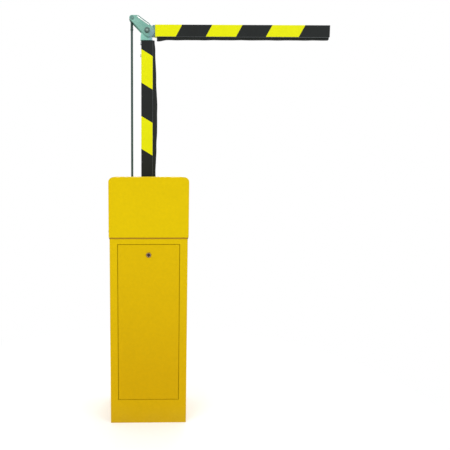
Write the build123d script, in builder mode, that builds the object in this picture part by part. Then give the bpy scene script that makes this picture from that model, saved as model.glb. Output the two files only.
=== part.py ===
from build123d import *
from math import cos, hypot, radians, sin, sqrt
import os

os.makedirs("parts", exist_ok=True)

# Folding-arm barrier gate, standing with its arm open: first boom section upright, second one level.
# Origin: middle of the anchor holes at ground level. +Z is up, the door faces -Y, the boom closes towards +X.

# --- cabinet
cabinet_width = 314.0
cabinet_depth = 280.0
cabinet_height = 1020.0     # ground to the top of the hood
sheet = 2.0                 # folded steel of cabinet, hood and door
hood_height = 240.0
hood_gap = 1.0              # between the hood's walls and the cabinet's
hood_corner = 20.0
rim_drop = 28.0             # from the hood's top down to the cabinet's rim
rim_width = 14.0
hood_screw_rise = 20.0      # above the hood's lower edge
hood_screw_spread = 180.0   # between the two screws of one side
base_thickness = 8.0
anchor_spacing_x = 240.0
anchor_spacing_y = 200.0
anchor_hole = 14.0
conduit_bore = 60.0

# --- door and its lock
door_margin = 33.0          # from the cabinet's side to the door's edge
door_bottom = 102.0         # ground to the door's lower edge
door_below_hood = 29.0
door_gap = 1.8
door_return = 16.0          # depth of the door's folded edge
lip_overlap = 14.0          # how far the rebate's lip reaches behind the door
tab_width = 30.0
tab_drop = 12.0
tab_spacing = 160.0
seal_thickness = 4.0
lock_drop = 42.0            # from the door's upper edge down to the lock
lock_radius = 9.5
lock_rim = 11.0
lock_rim_edge = 1.0
plug_radius = 6.5
keyway_width = 1.6
keyway_height = 8.0
keyway_depth = 6.0
lock_nut_thickness = 5.0
lock_cam_reach = 38.0
lock_cam_end = 7.0
lock_cam_thickness = 3.0
lock_cam_gap = 0.5          # behind the rebate's lip

# --- mechanism frame
mechanism_margin = 25.0     # from the cabinet's inner side to the plate's edge
mechanism_below_shaft = 370.0
mechanism_above_shaft = 110.0
plate_thickness = 8.0
front_plate_width = 220.0
front_plate_height = 140.0
front_plate_ahead = 72.0    # of the rocker's front face
tie_bar_radius = 8.0
tie_bar_inset = 15.0
wall_bolt_inset = 20.0
wall_bolt_edge = 30.0       # above the plate's lower edge, and below the hood

# --- main shaft, its bearings and what turns with it
shaft_drop = 170.0          # from the hood's top down to the shaft
shaft_radius = 17.5
shaft_fit = 0.02
shaft_front_end = 8.0       # ahead of the front bearing plate
bearing_radius = 36.0
bearing_width = 17.0
bearing_shoulder = 5.0
ball_radius = 5.5
ball_fit = 0.1
ball_count = 9
flange_side = 110.0
flange_thickness = 12.0
flange_corner = 8.0
flange_bolt_inset = 12.0
nose_radius = 40.0
nose_clearance = 1.0
nose_proud = 7.0            # of the rear nose behind the hood
rocker_to_plate = 116.0     # rocker's front face to the mechanism plate
rocker_reach = 70.0         # shaft to drive pin, and gearbox output to crank pin
rocker_angle = 45.0         # of both levers, clockwise from +Z, with the boom open
lever_thickness = 10.0
hub_length = 20.0
rocker_hub_radius = 30.0
key_width = 10.0
key_height = 8.0
key_depth = 5.0
collar_wall = 6.5
collar_length = 9.0
end_collar_gap = 0.5
drive_pin_radius = 8.0
drive_pin_head = 3.0        # wider than the pin
drive_eye_radius = 14.0
drive_eye_thickness = 14.0
drive_eye_gap = 1.0         # between eye and lever
pin_head_thickness = 3.8
drive_rod_radius = 8.0

# --- balance spring
spring_wire = 7.0
spring_diameter = 70.0      # mean
spring_turns = 8
spring_pitch = 8.0
spring_leg = 72.0
spring_side_gap = 0.5
guide_gap = 2.5             # between guide and coil
guide_end_gap = 0.2
dog_radius = 5.0
dog_round = 11.0
dog_along_leg = 55.0

# --- end stops and limit switches
buffer_radius = 12.0
buffer_along = 50.0         # from the shaft out along the rocker's flank
stud_radius = 5.0
stud_head = 3.0             # wider than the stud
stud_head_thickness = 6.0
cam_radius = 32.0
cam_width = 8.0
cam_spacing = 14.0
cam_to_collar = 12.0
cam_notch_radius = 7.0
cam_notch_angles = (140.0, 200.0)
roller_radius = 4.0
switch_width = 22.0
switch_height = 14.0
switch_to_roller = 6.0
switch_drop = 8.0           # its lower face below the shaft
switch_lever = 1.0
bracket_sheet = 3.0
bracket_foot = 10.0
bracket_drop = 24.0

# --- gearbox and motor
gearbox_drop = 230.0        # main shaft down to the gearbox output
crank_hub_radius = 25.0
output_radius = 14.0
output_seat = 40.0          # length of the output shaft in the gearbox
gearbox_half = 55.0
gearbox_left = 92.0
gearbox_right = 48.0
gearbox_corner = 12.0
gearbox_gap = 2.0           # behind the crank's hub
cover_radius = 40.0
cover_thickness = 8.0
cover_screw_circle = 31.0
motor_left = 45.0
motor_to_plate = 58.0
motor_radius = 50.0
motor_length = 155.0
motor_flange = 10.0
fin_count = 24
fin_height = 8.0
fin_width = 3.0
fin_step = 0.3              # the fins end this far inside the motor's flange
fan_cover_length = 38.0
fan_cover_corner = 8.0
vent_rows = (14.0, 24.0, 34.0)
vent_count = 12
vent_radius = 2.2
vent_depth = 3.0
terminal_box_size = (34.0, 76.0, 75.0)
terminal_box_drop = 35.0
small_corner = 6.0

# --- control box
rail_depth = 15.0
rail_height = 30.0
rail_inset = 40.0
control_half = 110.0
control_low = 130.0
control_high = 330.0
control_to_lip = 33.0       # door rebate's lip to the box's front
control_depth = 80.0
control_wall = 3.0
lid_screw_radius = 4.0
lid_screw_head = 2.0
lid_screw_inset = 12.0
board_half = 90.0
board_inset = 20.0
board_thickness = 1.6
board_post = 8.4
board_post_radius = 3.0
board_post_inset = 6.0
relay_places = (0.0, 22.0, 44.0, 66.0)
gland_places = (-60.0, 0.0, 60.0)
gland_flats = 11.0
gland_collar = 6.0
gland_nose_radius = 9.0
gland_nose = 12.0
gland_thread_radius = 8.0
gland_bore = 5.0

# --- boom
section_length = 800.0      # shaft to elbow, and elbow to tip
tube_height = 50.0
tube_depth = 30.0
tube_wall = 2.0
tube_corner = 1.5
rail_thickness = 2.0
rail_step = 1.0             # the rail is this much narrower than the tube on each side
rubber_height = 13.0
rubber_step = 3.0           # the rubber is this much narrower than the tube on each side
rubber_wall = 3.0
rubber_side_wall = 4.0
plug_length = 20.0
tip_flange = 3.0
tube_below_shaft = 45.0
tube_end_gap = 1.0          # first tube's end under the second section's rubber, arm open
outer_tube_start = 35.0     # elbow out to the second tube
outer_rubber_start = 44.0
rail_above_shaft = 145.0

# --- arm hub and rod anchor behind the hood
anchor_plate_thickness = 6.0
anchor_round = 14.0
anchor_screw_circle = 30.0
anchor_screw_length = 16.0
hub_gap = 2.0
hub_thickness = 10.0
hub_above = 130.0
hub_corner = 8.0
saddle_sheet = 3.0
saddle_margin = 5.0
saddle_wing = 22.0
saddle_bolt_rise = 14.0

# --- elbow and parallel rod
rod_beside = 41.0           # rod's axis from the first tube's left face, arm open
rod_above = 27.0            # rod's axis above the boom's upper face, arm shut
hinge_plate = 4.0
ear_plate = 4.5
ear_gap = 0.6               # between ear plates and the tube's faces
tongue_fit = 0.2
tongue_length = 90.0
bracket_rise = 12.0         # of the first bracket's web above its tube
inner_eye_step = 0.8        # eye of the first bracket inside the tongue's width
neck_gap = 2.0
bush_radius = 10.0
boss_x = 8.0
boss_z = -4.0
ear_corner = 5.0
ear_pin_radius = 5.0
ear_pin_head = 2.5
ear_round = 11.0
web_from_ear = 25.0
spacer_radius = 15.0
spacer_gap = 0.1
screw_spacing = 50.0
inner_screw_edge = 12.0
outer_screw_edge = 25.0
rod_radius = 5.0
rod_eye_radius = 11.0
rod_eye_thickness = 16.0
rod_socket_radius = 7.0
rod_socket_length = 34.0
rod_in_socket = 8.0         # from the eye's rim to the rod's end
rod_nut_thickness = 6.0
rod_nut_flats = 8.5
rod_ring_wall = 3.5
anchor_shoulder = 9.0

# --- fits and fasteners: radii, hexagons to their flats, and head heights
pin_fit = 0.05
hole_fit = 0.1
running_gap = 0.3
m5_radius = 2.5
m6_radius = 3.0
m8_radius = 4.0
m10_radius = 5.0
m12_radius = 6.0
m5_head_radius = 5.0
m6_flats = 5.0
m6_head_radius = 6.0
m8_flats = 6.5
m10_flats = 8.0
m12_flats = 9.5
flat_head = 3.0
m6_dome = 3.2
m6_nut = 4.0
m8_head = 5.3
m10_dome = 4.0
m10_nut = 8.0
m10_thin_nut = 6.4
m12_head = 8.0
m12_nut = 10.0
thread_end = 3.0            # of the elbow bolt beyond its nut

# --- worked out from the sizes above
shaft_z = cabinet_height - shaft_drop
elbow_z = shaft_z + section_length
front_face = -cabinet_depth / 2
rear_face = cabinet_depth / 2
inside_front = front_face + sheet
inside_rear = rear_face - sheet
inside_side = cabinet_width / 2 - sheet
hood_width = cabinet_width + 2 * (hood_gap + sheet)
hood_depth = cabinet_depth + 2 * (hood_gap + sheet)
hood_bottom = cabinet_height - hood_height
hood_screw_z = hood_bottom + hood_screw_rise
hood_screw_places = [(side, y) for side in (-1, 1) for y in (-hood_screw_spread / 2, hood_screw_spread / 2)]
rim_z = cabinet_height - rim_drop
hood_rear = hood_depth / 2
nose_end = hood_rear + nose_proud
anchor_plate_end = nose_end + anchor_plate_thickness
hub_front = anchor_plate_end + hub_gap
tube_front = hub_front + hub_thickness
tube_rear = tube_front + tube_depth
tube_middle = (tube_front + tube_rear) / 2
half_tube = tube_height / 2

door_half = cabinet_width / 2 - door_margin
door_top = hood_bottom - door_below_hood
opening_half = door_half + door_gap
opening_low = door_bottom - door_gap
opening_high = door_top + door_gap
lip_front = front_face + door_return + seal_thickness
lip_back = lip_front + sheet
lock_z = door_top - lock_drop
lock_face = front_face - sheet
cam_plate = (lip_back + lock_cam_gap, lip_back + lock_cam_gap + lock_cam_thickness)

mechanism_half = inside_side - mechanism_margin
mechanism_low = shaft_z - mechanism_below_shaft
mechanism_high = shaft_z + mechanism_above_shaft
mechanism_y = inside_rear - plate_thickness
rocker_y = mechanism_y - rocker_to_plate
rocker_back = rocker_y + lever_thickness
rocker_hub_end = rocker_y + hub_length
front_plate_y = rocker_y - front_plate_ahead
front_plate_back = front_plate_y + plate_thickness
front_flange_end = front_plate_back + flange_thickness
rear_flange_y = mechanism_y - flange_thickness
output_z = shaft_z - gearbox_drop
pin_x = rocker_reach * sin(radians(rocker_angle))
pin_z = rocker_reach * cos(radians(rocker_angle))
eye_back = rocker_y - drive_eye_gap
eye_front = eye_back - drive_eye_thickness

tie_x = front_plate_width / 2 - tie_bar_inset
tie_z = front_plate_height / 2 - tie_bar_inset
tie_places = [(x, z) for x in (-tie_x, tie_x) for z in (shaft_z - tie_z, shaft_z + tie_z)]
flange_bolt = flange_side / 2 - flange_bolt_inset
flange_places = [(x, shaft_z + z) for x in (-flange_bolt, flange_bolt) for z in (-flange_bolt, flange_bolt)]
wall_bolt_x = mechanism_half - wall_bolt_inset
wall_bolts = [(x, z) for x in (-wall_bolt_x, wall_bolt_x)
              for z in (mechanism_low + wall_bolt_edge, hood_bottom - wall_bolt_edge)]
nose_screws = [(anchor_screw_circle * cos(radians(angle)), shaft_z + anchor_screw_circle * sin(radians(angle)))
               for angle in range(45, 405, 90)]

spring_radius = spring_diameter / 2
coil_start = rocker_hub_end + spring_wire / 2 + spring_side_gap
coil_end = coil_start + spring_turns * spring_pitch
front_leg = (sin(radians(rocker_angle)), cos(radians(rocker_angle)))     # along the rocker's leg of the wire
leg_root = (-front_leg[1], front_leg[0])                                 # where both legs leave the coil
catch_offset = spring_radius + spring_wire / 2 + dog_radius + running_gap
dog_x = leg_root[0] * catch_offset + front_leg[0] * dog_along_leg
dog_z = leg_root[1] * catch_offset + front_leg[1] * dog_along_leg
catch_x = leg_root[0] * catch_offset - front_leg[0] * dog_along_leg
catch_z = leg_root[1] * catch_offset - front_leg[1] * dog_along_leg

link_x = -half_tube - rod_beside              # ear pin from the elbow, and anchor pin from the shaft
link_z = half_tube + rod_above
anchor_z = shaft_z + link_z
ear_z = elbow_z + link_z
tongue_front = tube_front + tube_wall + tongue_fit
tongue_rear = tube_rear - tube_wall - tongue_fit
tongue_half = half_tube - tube_wall - tongue_fit
cheeks_y = ((tongue_front, tongue_front + hinge_plate), (tongue_rear - hinge_plate, tongue_rear))
ears_y = ((tube_front - ear_gap - ear_plate, tube_front - ear_gap),
          (tube_rear + ear_gap, tube_rear + ear_gap + ear_plate))
rod_front = tube_middle - rod_eye_thickness / 2
rod_rear = tube_middle + rod_eye_thickness / 2


def facing_front(y):
    """Sketch plane across the barrier at y; what is extruded from it grows towards the front."""
    return Plane.XZ.offset(-y)


def block(x_span, y_span, z_span, mode=Mode.ADD):
    """Box between two values on each axis."""
    middles = [(low + high) / 2 for low, high in (x_span, y_span, z_span)]
    sizes = [high - low for low, high in (x_span, y_span, z_span)]
    with Locations(tuple(middles)):
        Box(*sizes, mode=mode)


def round_bar(x, z, radius, y_span, mode=Mode.ADD):
    """Cylinder along Y."""
    with Locations((x, (y_span[0] + y_span[1]) / 2, z)):
        Cylinder(radius, y_span[1] - y_span[0], rotation=(90, 0, 0), mode=mode)


def bores(places, radius, y_span):
    """Holes along Y at several (x, z) places."""
    for x, z in places:
        round_bar(x, z, radius, y_span, Mode.SUBTRACT)


def side_bar(x_span, y, z, radius, mode=Mode.ADD):
    """Cylinder along X."""
    with Locations(((x_span[0] + x_span[1]) / 2, y, z)):
        Cylinder(radius, abs(x_span[1] - x_span[0]), rotation=(0, 90, 0), mode=mode)


def hexagon(x, z, flats, y_span, bore=0.0):
    """Hexagonal head along Y, or a nut where it has a bore."""
    with BuildSketch(facing_front(y_span[1])) as outline:
        with Locations((x, z)):
            RegularPolygon(flats, 6, major_radius=False)
            if bore:
                Circle(bore, mode=Mode.SUBTRACT)
    extrude(outline.sketch, amount=y_span[1] - y_span[0])


def ring(x, z, radius, bore, y_span):
    """Plain ring or sleeve along Y."""
    with BuildSketch(facing_front(y_span[1])) as outline:
        with Locations((x, z)):
            Circle(radius)
            Circle(bore, mode=Mode.SUBTRACT)
    extrude(outline.sketch, amount=y_span[1] - y_span[0])


def hull_plate(circles, y_span):
    """Flat plate whose outline wraps the given circles, each (x, z, radius)."""
    with BuildSketch(facing_front(y_span[1])) as outline:
        for x, z, radius in circles:
            with Locations((x, z)):
                Circle(radius)
        make_hull()
    extrude(outline.sketch, amount=y_span[1] - y_span[0])


def countersunk(x, z, radius, face_y, length, mode=Mode.ADD):
    """Countersunk screw along Y, its head level with a rear face."""
    round_bar(x, z, radius, (face_y - length, face_y), mode)
    with Locations((x, face_y - radius / 2, z)):
        Cone(radius, 2 * radius, radius, rotation=(-90, 0, 0), mode=mode)


def ball_bearing(y_span):
    """Deep-groove ball bearing on the main shaft: two grooved rings and their balls."""
    middle = (y_span[0] + y_span[1]) / 2
    bore = shaft_radius + shaft_fit
    pitch = (bore + bearing_radius) / 2
    step = (bearing_radius - bore) / 4
    ring(0, shaft_z, bearing_radius, bearing_radius - step, y_span)
    ring(0, shaft_z, bore + step, bore, y_span)
    with Locations((0, middle, shaft_z)):
        Torus(pitch, ball_radius + ball_fit, rotation=(90, 0, 0), mode=Mode.SUBTRACT)
    for number in range(ball_count):
        angle = radians(360 / ball_count * number)
        with Locations((pitch * cos(angle), middle, shaft_z + pitch * sin(angle))):
            Sphere(ball_radius)


def drive_pin(z):
    """Headed pin of the rocker or the crank, through the eye of the drive rod."""
    round_bar(pin_x, z, drive_pin_radius, (eye_front - hole_fit, rocker_y))
    head_y = eye_front - hole_fit
    round_bar(pin_x, z, drive_pin_radius + drive_pin_head, (head_y - pin_head_thickness, head_y))


# =============================================================== cabinet
with BuildPart() as base_plate:
    block((-inside_side, inside_side), (inside_front, inside_rear), (0, base_thickness))
    with Locations((0, 0, base_thickness)):
        with GridLocations(anchor_spacing_x, anchor_spacing_y, 2, 2):
            Hole(anchor_hole / 2, base_thickness)
        Hole(conduit_bore / 2, base_thickness)

with BuildPart() as cabinet_body:
    block((-cabinet_width / 2, cabinet_width / 2), (front_face, rear_face), (0, rim_z))
    block((-inside_side, inside_side), (inside_front, inside_rear), (0, rim_z - sheet), Mode.SUBTRACT)
    block((-inside_side + rim_width, inside_side - rim_width),
          (inside_front + rim_width, inside_rear - rim_width), (rim_z - sheet, rim_z), Mode.SUBTRACT)
    block((-opening_half, opening_half), (front_face, inside_front), (opening_low, opening_high), Mode.SUBTRACT)
    round_bar(0, shaft_z, nose_radius + nose_clearance, (inside_rear, rear_face), Mode.SUBTRACT)
    for side, y in hood_screw_places:
        side_bar((side * (inside_side - sheet), side * (inside_side + 2 * sheet)), y, hood_screw_z,
                 m6_radius + hole_fit, Mode.SUBTRACT)
    bores(wall_bolts, m10_radius + hole_fit, (inside_rear, rear_face))
    upright = cabinet_body.edges().filter_by(Axis.Z).filter_by(lambda e: e.length > rim_z - sheet / 2)
    fillet(upright.group_by(lambda e: round(hypot(e.center().X, e.center().Y), 1))[-1], radius=sheet)

with BuildPart() as door_rebate:
    block((-opening_half - sheet, opening_half + sheet), (inside_front, lip_back),
          (opening_low - tab_drop - 2 * sheet, opening_high + sheet))
    block((-opening_half, opening_half), (inside_front, lip_front),
          (opening_low - tab_drop - sheet, opening_high), Mode.SUBTRACT)
    block((-door_half + lip_overlap, door_half - lip_overlap), (lip_front, lip_back),
          (door_bottom + lip_overlap, door_top - lip_overlap), Mode.SUBTRACT)

with BuildPart() as door_seal:
    seal_y = (lip_front - seal_thickness, lip_front)
    block((-door_half, door_half), seal_y, (door_bottom, door_top))
    block((-door_half + lip_overlap - sheet, door_half - lip_overlap + sheet), seal_y,
          (door_bottom + lip_overlap - sheet, door_top - lip_overlap + sheet), Mode.SUBTRACT)

with BuildPart() as hood:
    with BuildSketch(facing_front(hood_rear)) as shape:
        with Locations((0, hood_bottom + hood_height / 2)):
            Rectangle(hood_width, hood_height)
        fillet(shape.vertices().group_by(Axis.Y)[-1], radius=hood_corner)
    extrude(amount=hood_depth)
    with BuildSketch(facing_front(hood_rear - sheet)) as hollow:
        with Locations((0, hood_bottom + (hood_height - sheet) / 2)):
            Rectangle(hood_width - 2 * sheet, hood_height - sheet)
        fillet(hollow.vertices().group_by(Axis.Y)[-1], radius=hood_corner - sheet)
    extrude(amount=hood_depth - 2 * sheet, mode=Mode.SUBTRACT)
    slot_half = nose_radius + hub_gap
    block((-slot_half, slot_half), (hood_rear - sheet, hood_rear), (hood_bottom, shaft_z), Mode.SUBTRACT)
    round_bar(0, shaft_z, slot_half, (hood_rear - sheet, hood_rear), Mode.SUBTRACT)
    for side, y in hood_screw_places:
        side_bar((side * (hood_width / 2 - 2 * sheet), side * (hood_width / 2 + sheet)), y, hood_screw_z,
                 m6_radius + hole_fit, Mode.SUBTRACT)

# =============================================================== door and its lock
with BuildPart() as door_panel:
    block((-door_half, door_half), (front_face, front_face + door_return), (door_bottom, door_top))
    block((-door_half + sheet, door_half - sheet), (inside_front, front_face + door_return),
          (door_bottom + sheet, door_top - sheet), Mode.SUBTRACT)
    round_bar(0, lock_z, lock_radius + hole_fit, (front_face, inside_front), Mode.SUBTRACT)
    for x in (-tab_spacing / 2, tab_spacing / 2):
        block((x - tab_width / 2, x + tab_width / 2), (inside_front + sheet, inside_front + 2 * sheet),
              (door_bottom - tab_drop, door_bottom + sheet))

with BuildPart() as lock_housing:
    round_bar(0, lock_z, lock_rim, (lock_face, front_face))
    round_bar(0, lock_z, lock_radius, (front_face, lip_front - lock_rim_edge))
    round_bar(0, lock_z, plug_radius, (lock_face, lip_back), Mode.SUBTRACT)
    fillet(lock_housing.faces().sort_by(Axis.Y)[0].outer_wire().edges(), radius=lock_rim_edge)

with BuildPart() as lock_nut:
    hexagon(0, lock_z, lock_rim + sheet, (inside_front, inside_front + lock_nut_thickness), lock_radius)

with BuildPart() as lock_plug:
    round_bar(0, lock_z, plug_radius - pin_fit, (lock_face + lock_cam_gap, cam_plate[0]))
    block((-keyway_width / 2, keyway_width / 2), (lock_face, lock_face + keyway_depth),
          (lock_z - keyway_height / 2, lock_z + keyway_height / 2), Mode.SUBTRACT)

with BuildPart() as lock_cam:
    hull_plate([(0, lock_z, lock_radius), (lock_cam_reach, lock_z, lock_cam_end)], cam_plate)
    hexagon(0, lock_z, m6_flats, (cam_plate[1], cam_plate[1] + m6_nut))

# =============================================================== mechanism frame
with BuildPart() as mechanism_plate:
    block((-mechanism_half, mechanism_half), (mechanism_y, inside_rear), (mechanism_low, mechanism_high))
    round_bar(0, shaft_z, nose_radius + nose_clearance, (mechanism_y, inside_rear), Mode.SUBTRACT)
    bores(flange_places, m8_radius + hole_fit, (mechanism_y, inside_rear))
    bores(wall_bolts, m10_radius + hole_fit, (mechanism_y, inside_rear))


# Rubber buffers stop the rocker at both ends of its swing: each stands beside one flank of the lever.
def flank(reach_x, reach_z, reach_radius, turn):
    """Outward normal of the straight flank between the hub and a boss; turn is -1 or 1 for the side."""
    distance = hypot(reach_x, reach_z)
    across = (rocker_hub_radius - reach_radius) / distance
    along = sqrt(1 - across ** 2)
    unit_x, unit_z = reach_x / distance, reach_z / distance
    return across * unit_x - turn * along * unit_z, across * unit_z + turn * along * unit_x


open_normal = flank(dog_x, dog_z, dog_round, 1)
shut_normal = flank(pin_x, pin_z, drive_eye_radius, -1)
shut_normal = (shut_normal[1], -shut_normal[0])                          # turned with the rocker by 90 degrees
stand_off = rocker_hub_radius + buffer_radius + running_gap
stop_places = [(open_normal[0] * stand_off + open_normal[1] * buffer_along,
                shaft_z + open_normal[1] * stand_off - open_normal[0] * buffer_along),
               (shut_normal[0] * stand_off - shut_normal[1] * buffer_along,
                shaft_z + shut_normal[1] * stand_off + shut_normal[0] * buffer_along)]

with BuildPart() as front_bearing_plate:
    plate_y = (front_plate_y, front_plate_back)
    block((-front_plate_width / 2, front_plate_width / 2), plate_y,
          (shaft_z - front_plate_height / 2, shaft_z + front_plate_height / 2))
    round_bar(0, shaft_z, shaft_radius + m8_radius, plate_y, Mode.SUBTRACT)
    bores(flange_places, m8_radius + hole_fit, plate_y)
    bores(tie_places, m10_radius + hole_fit, plate_y)
    bores(stop_places, stud_radius, plate_y)

with BuildPart() as tie_bars:
    for x, z in tie_places:
        round_bar(x, z, tie_bar_radius, (front_plate_back, mechanism_y))
        round_bar(x, z, m10_radius, (front_plate_y - m10_thin_nut - 1, front_plate_back))

with BuildPart() as cabinet_fasteners:
    for x, z in flange_places:
        round_bar(x, z, m8_radius, (rear_flange_y, inside_rear))
        hexagon(x, z, m8_flats, (rear_flange_y - m8_head, rear_flange_y))
        round_bar(x, z, m8_radius, (front_plate_y, front_flange_end))
        hexagon(x, z, m8_flats, (front_flange_end, front_flange_end + m8_head))
    for x, z in wall_bolts:
        round_bar(x, z, 2 * m10_radius, (rear_face, rear_face + m10_dome))
        round_bar(x, z, m10_radius, (mechanism_y - m10_nut - sheet, rear_face))
        hexagon(x, z, m10_flats, (mechanism_y - m10_nut, mechanism_y), m10_radius + pin_fit)
    for x, z in tie_places:
        hexagon(x, z, m10_flats, (front_plate_y - m10_thin_nut, front_plate_y), m10_radius + pin_fit)
    for x, z in nose_screws:
        countersunk(x, z, m6_radius, anchor_plate_end, anchor_screw_length)
    for side, y in hood_screw_places:
        side_bar((side * hood_width / 2, side * (hood_width / 2 + m6_dome)), y, hood_screw_z, m6_head_radius)
        side_bar((side * (inside_side - m6_nut - sheet), side * hood_width / 2), y, hood_screw_z, m6_radius)
        with BuildSketch(Plane((side * inside_side, y, hood_screw_z), z_dir=(-side, 0, 0))) as nut:
            RegularPolygon(m6_flats, 6, major_radius=False)
            Circle(m6_radius + pin_fit, mode=Mode.SUBTRACT)
        extrude(nut.sketch, amount=m6_nut)

# =============================================================== main shaft and bearings
rear_bearing_y = (rear_flange_y, rear_flange_y + bearing_width)
front_bearing_y = (front_plate_back + bearing_shoulder, front_plate_back + bearing_shoulder + bearing_width)
housing_end = front_bearing_y[1]
housings = ((rear_flange_y, mechanism_y, nose_end, rear_bearing_y),
            (front_plate_back, front_flange_end, housing_end, front_bearing_y))

with BuildPart() as bearing_housings:
    for flange_y, wall_y, nose_y, seat in housings:
        with BuildSketch(facing_front(wall_y)) as flange:
            with Locations((0, shaft_z)):
                RectangleRounded(flange_side, flange_side, flange_corner)
        extrude(flange.sketch, amount=wall_y - flange_y)
        round_bar(0, shaft_z, nose_radius, (wall_y, nose_y))
        round_bar(0, shaft_z, bearing_radius, seat, Mode.SUBTRACT)
        round_bar(0, shaft_z, shaft_radius + hub_gap, (flange_y, nose_y), Mode.SUBTRACT)
        bores(flange_places, m8_radius, (flange_y, wall_y))
    bores(nose_screws, m6_radius, (anchor_plate_end - anchor_screw_length, nose_end))

with BuildPart() as shaft_bearings:
    ball_bearing(rear_bearing_y)
    ball_bearing(front_bearing_y)

shaft_start = front_plate_y - shaft_front_end
key_low = shaft_z + shaft_radius - key_depth
key_spans = ((-key_width / 2, key_width / 2), (rocker_y, rocker_hub_end), (key_low, key_low + key_height))
with BuildPart() as main_shaft:
    round_bar(0, shaft_z, shaft_radius, (shaft_start, tube_front))
    block(*key_spans, Mode.SUBTRACT)

with BuildPart() as shaft_key_and_collars:
    block(*key_spans)
    for collar_y in ((housing_end, housing_end + collar_length), (rear_flange_y - collar_length, rear_flange_y),
                     (shaft_start, front_plate_y - end_collar_gap)):
        ring(0, shaft_z, shaft_radius + collar_wall, shaft_radius, collar_y)

# =============================================================== rocker, spring and limit cams
with BuildPart() as rocker_lever:
    hull_plate([(0, shaft_z, rocker_hub_radius), (pin_x, shaft_z + pin_z, drive_eye_radius),
                (dog_x, shaft_z + dog_z, dog_round)], (rocker_y, rocker_back))
    round_bar(0, shaft_z, rocker_hub_radius, (rocker_y, rocker_hub_end))
    round_bar(0, shaft_z, shaft_radius, (rocker_y, rocker_hub_end), Mode.SUBTRACT)
    block(*key_spans, Mode.SUBTRACT)
    drive_pin(shaft_z + pin_z)
    round_bar(dog_x, shaft_z + dog_z, dog_radius, (rocker_back, coil_start + spring_wire))

with BuildPart() as wound_spring:                        # upright at the origin, before it goes on the shaft
    with BuildLine():
        coil = Helix(spring_pitch, spring_turns * spring_pitch, spring_radius, lefthand=True)
    with BuildSketch(Plane(coil @ 0, x_dir=(0, 0, 1), z_dir=coil % 0)):
        Circle(spring_wire / 2)
    sweep(path=coil, is_frenet=True)
    for end in (0, 1):
        cut = wound_spring.faces().filter_by(GeomType.PLANE).sort_by_distance(coil @ end)[0]
        extrude(cut, amount=spring_leg)

with BuildPart() as balance_spring:
    on_shaft = Plane((0, coil_start, shaft_z), x_dir=(leg_root[0], 0, leg_root[1]), z_dir=(0, 1, 0))
    add(wound_spring.part.moved(on_shaft.location))

guide_y = (rocker_hub_end + guide_end_gap, rear_flange_y - collar_length - guide_end_gap)
with BuildPart() as spring_guide:
    ring(0, shaft_z, spring_radius - spring_wire / 2 - guide_gap, shaft_radius + running_gap, guide_y)

first_cam = housing_end + cam_to_collar
cams_y = [(start, start + cam_width) for start in (first_cam, first_cam + cam_spacing)]
with BuildPart() as limit_cams:
    for cam_y, notch in zip(cams_y, cam_notch_angles):
        round_bar(0, shaft_z, cam_radius, cam_y)
        round_bar(cam_radius * sin(radians(notch)), shaft_z + cam_radius * cos(radians(notch)),
                  cam_notch_radius, cam_y, Mode.SUBTRACT)
    sleeve_y = (first_cam - hub_gap, cams_y[1][1])
    round_bar(0, shaft_z, shaft_radius + collar_wall, sleeve_y)
    round_bar(0, shaft_z, shaft_radius, sleeve_y, Mode.SUBTRACT)

roller_x = -cam_radius - roller_radius - running_gap
switch_low = shaft_z - switch_drop
switch_high = switch_low + switch_height
switch_side = roller_x - switch_to_roller
with BuildPart() as limit_switches:
    for cam_y in cams_y:
        block((switch_side - switch_width, switch_side), (cam_y[0] - 1, cam_y[1] + 1), (switch_low, switch_high))
        block((switch_side - switch_width / 2, roller_x + switch_lever), (cam_y[0] + 2, cam_y[1] - 2),
              (switch_high, switch_high + switch_lever))
        round_bar(roller_x, switch_high - roller_radius / 2, roller_radius, (cam_y[0] + 1, cam_y[1] - 1))

bracket_x = -flange_side / 2 - hub_gap                   # the bracket passes beside the bearing's flange
with BuildPart() as switch_bracket:
    block((bracket_x - bracket_foot, roller_x - hub_gap), (housing_end, cams_y[1][1] + hub_gap),
          (switch_low - bracket_sheet, switch_low))
    block((bracket_x - bracket_foot, bracket_x), (front_plate_back, housing_end),
          (switch_low - bracket_sheet, switch_low))
    block((bracket_x - bracket_foot, bracket_x), (front_plate_back, front_plate_back + bracket_sheet),
          (switch_low - bracket_drop, switch_low - bracket_sheet))

with BuildPart() as frame_studs:
    for x, z in stop_places:
        round_bar(x, z, stud_radius, (front_plate_y, rocker_back + sheet))
        round_bar(x, z, stud_radius + stud_head, (front_plate_y - stud_head_thickness, front_plate_y))
    round_bar(catch_x, shaft_z + catch_z, dog_radius, (coil_end - spring_wire, mechanism_y))
    round_bar(catch_x, shaft_z + catch_z, dog_radius + stud_head, (mechanism_y - stud_head_thickness, mechanism_y))

with BuildPart() as stop_buffers:
    for x, z in stop_places:
        ring(x, z, buffer_radius, stud_radius, (rocker_y - 1, rocker_back + 1))

# =============================================================== drive rod, crank, gearbox and motor
eye_y = (eye_front, eye_back)
with BuildPart() as drive_rod:
    for z in (output_z + pin_z, shaft_z + pin_z):
        round_bar(pin_x, z, drive_eye_radius, eye_y)
    with Locations((pin_x, (eye_front + eye_back) / 2, (output_z + shaft_z) / 2 + pin_z)):
        Cylinder(drive_rod_radius, gearbox_drop - 2 * drive_eye_radius + m8_radius)
    round_bar(pin_x, output_z + pin_z, drive_pin_radius + pin_fit, eye_y, Mode.SUBTRACT)
    round_bar(pin_x, shaft_z + pin_z, drive_pin_radius + running_gap, eye_y, Mode.SUBTRACT)

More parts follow.
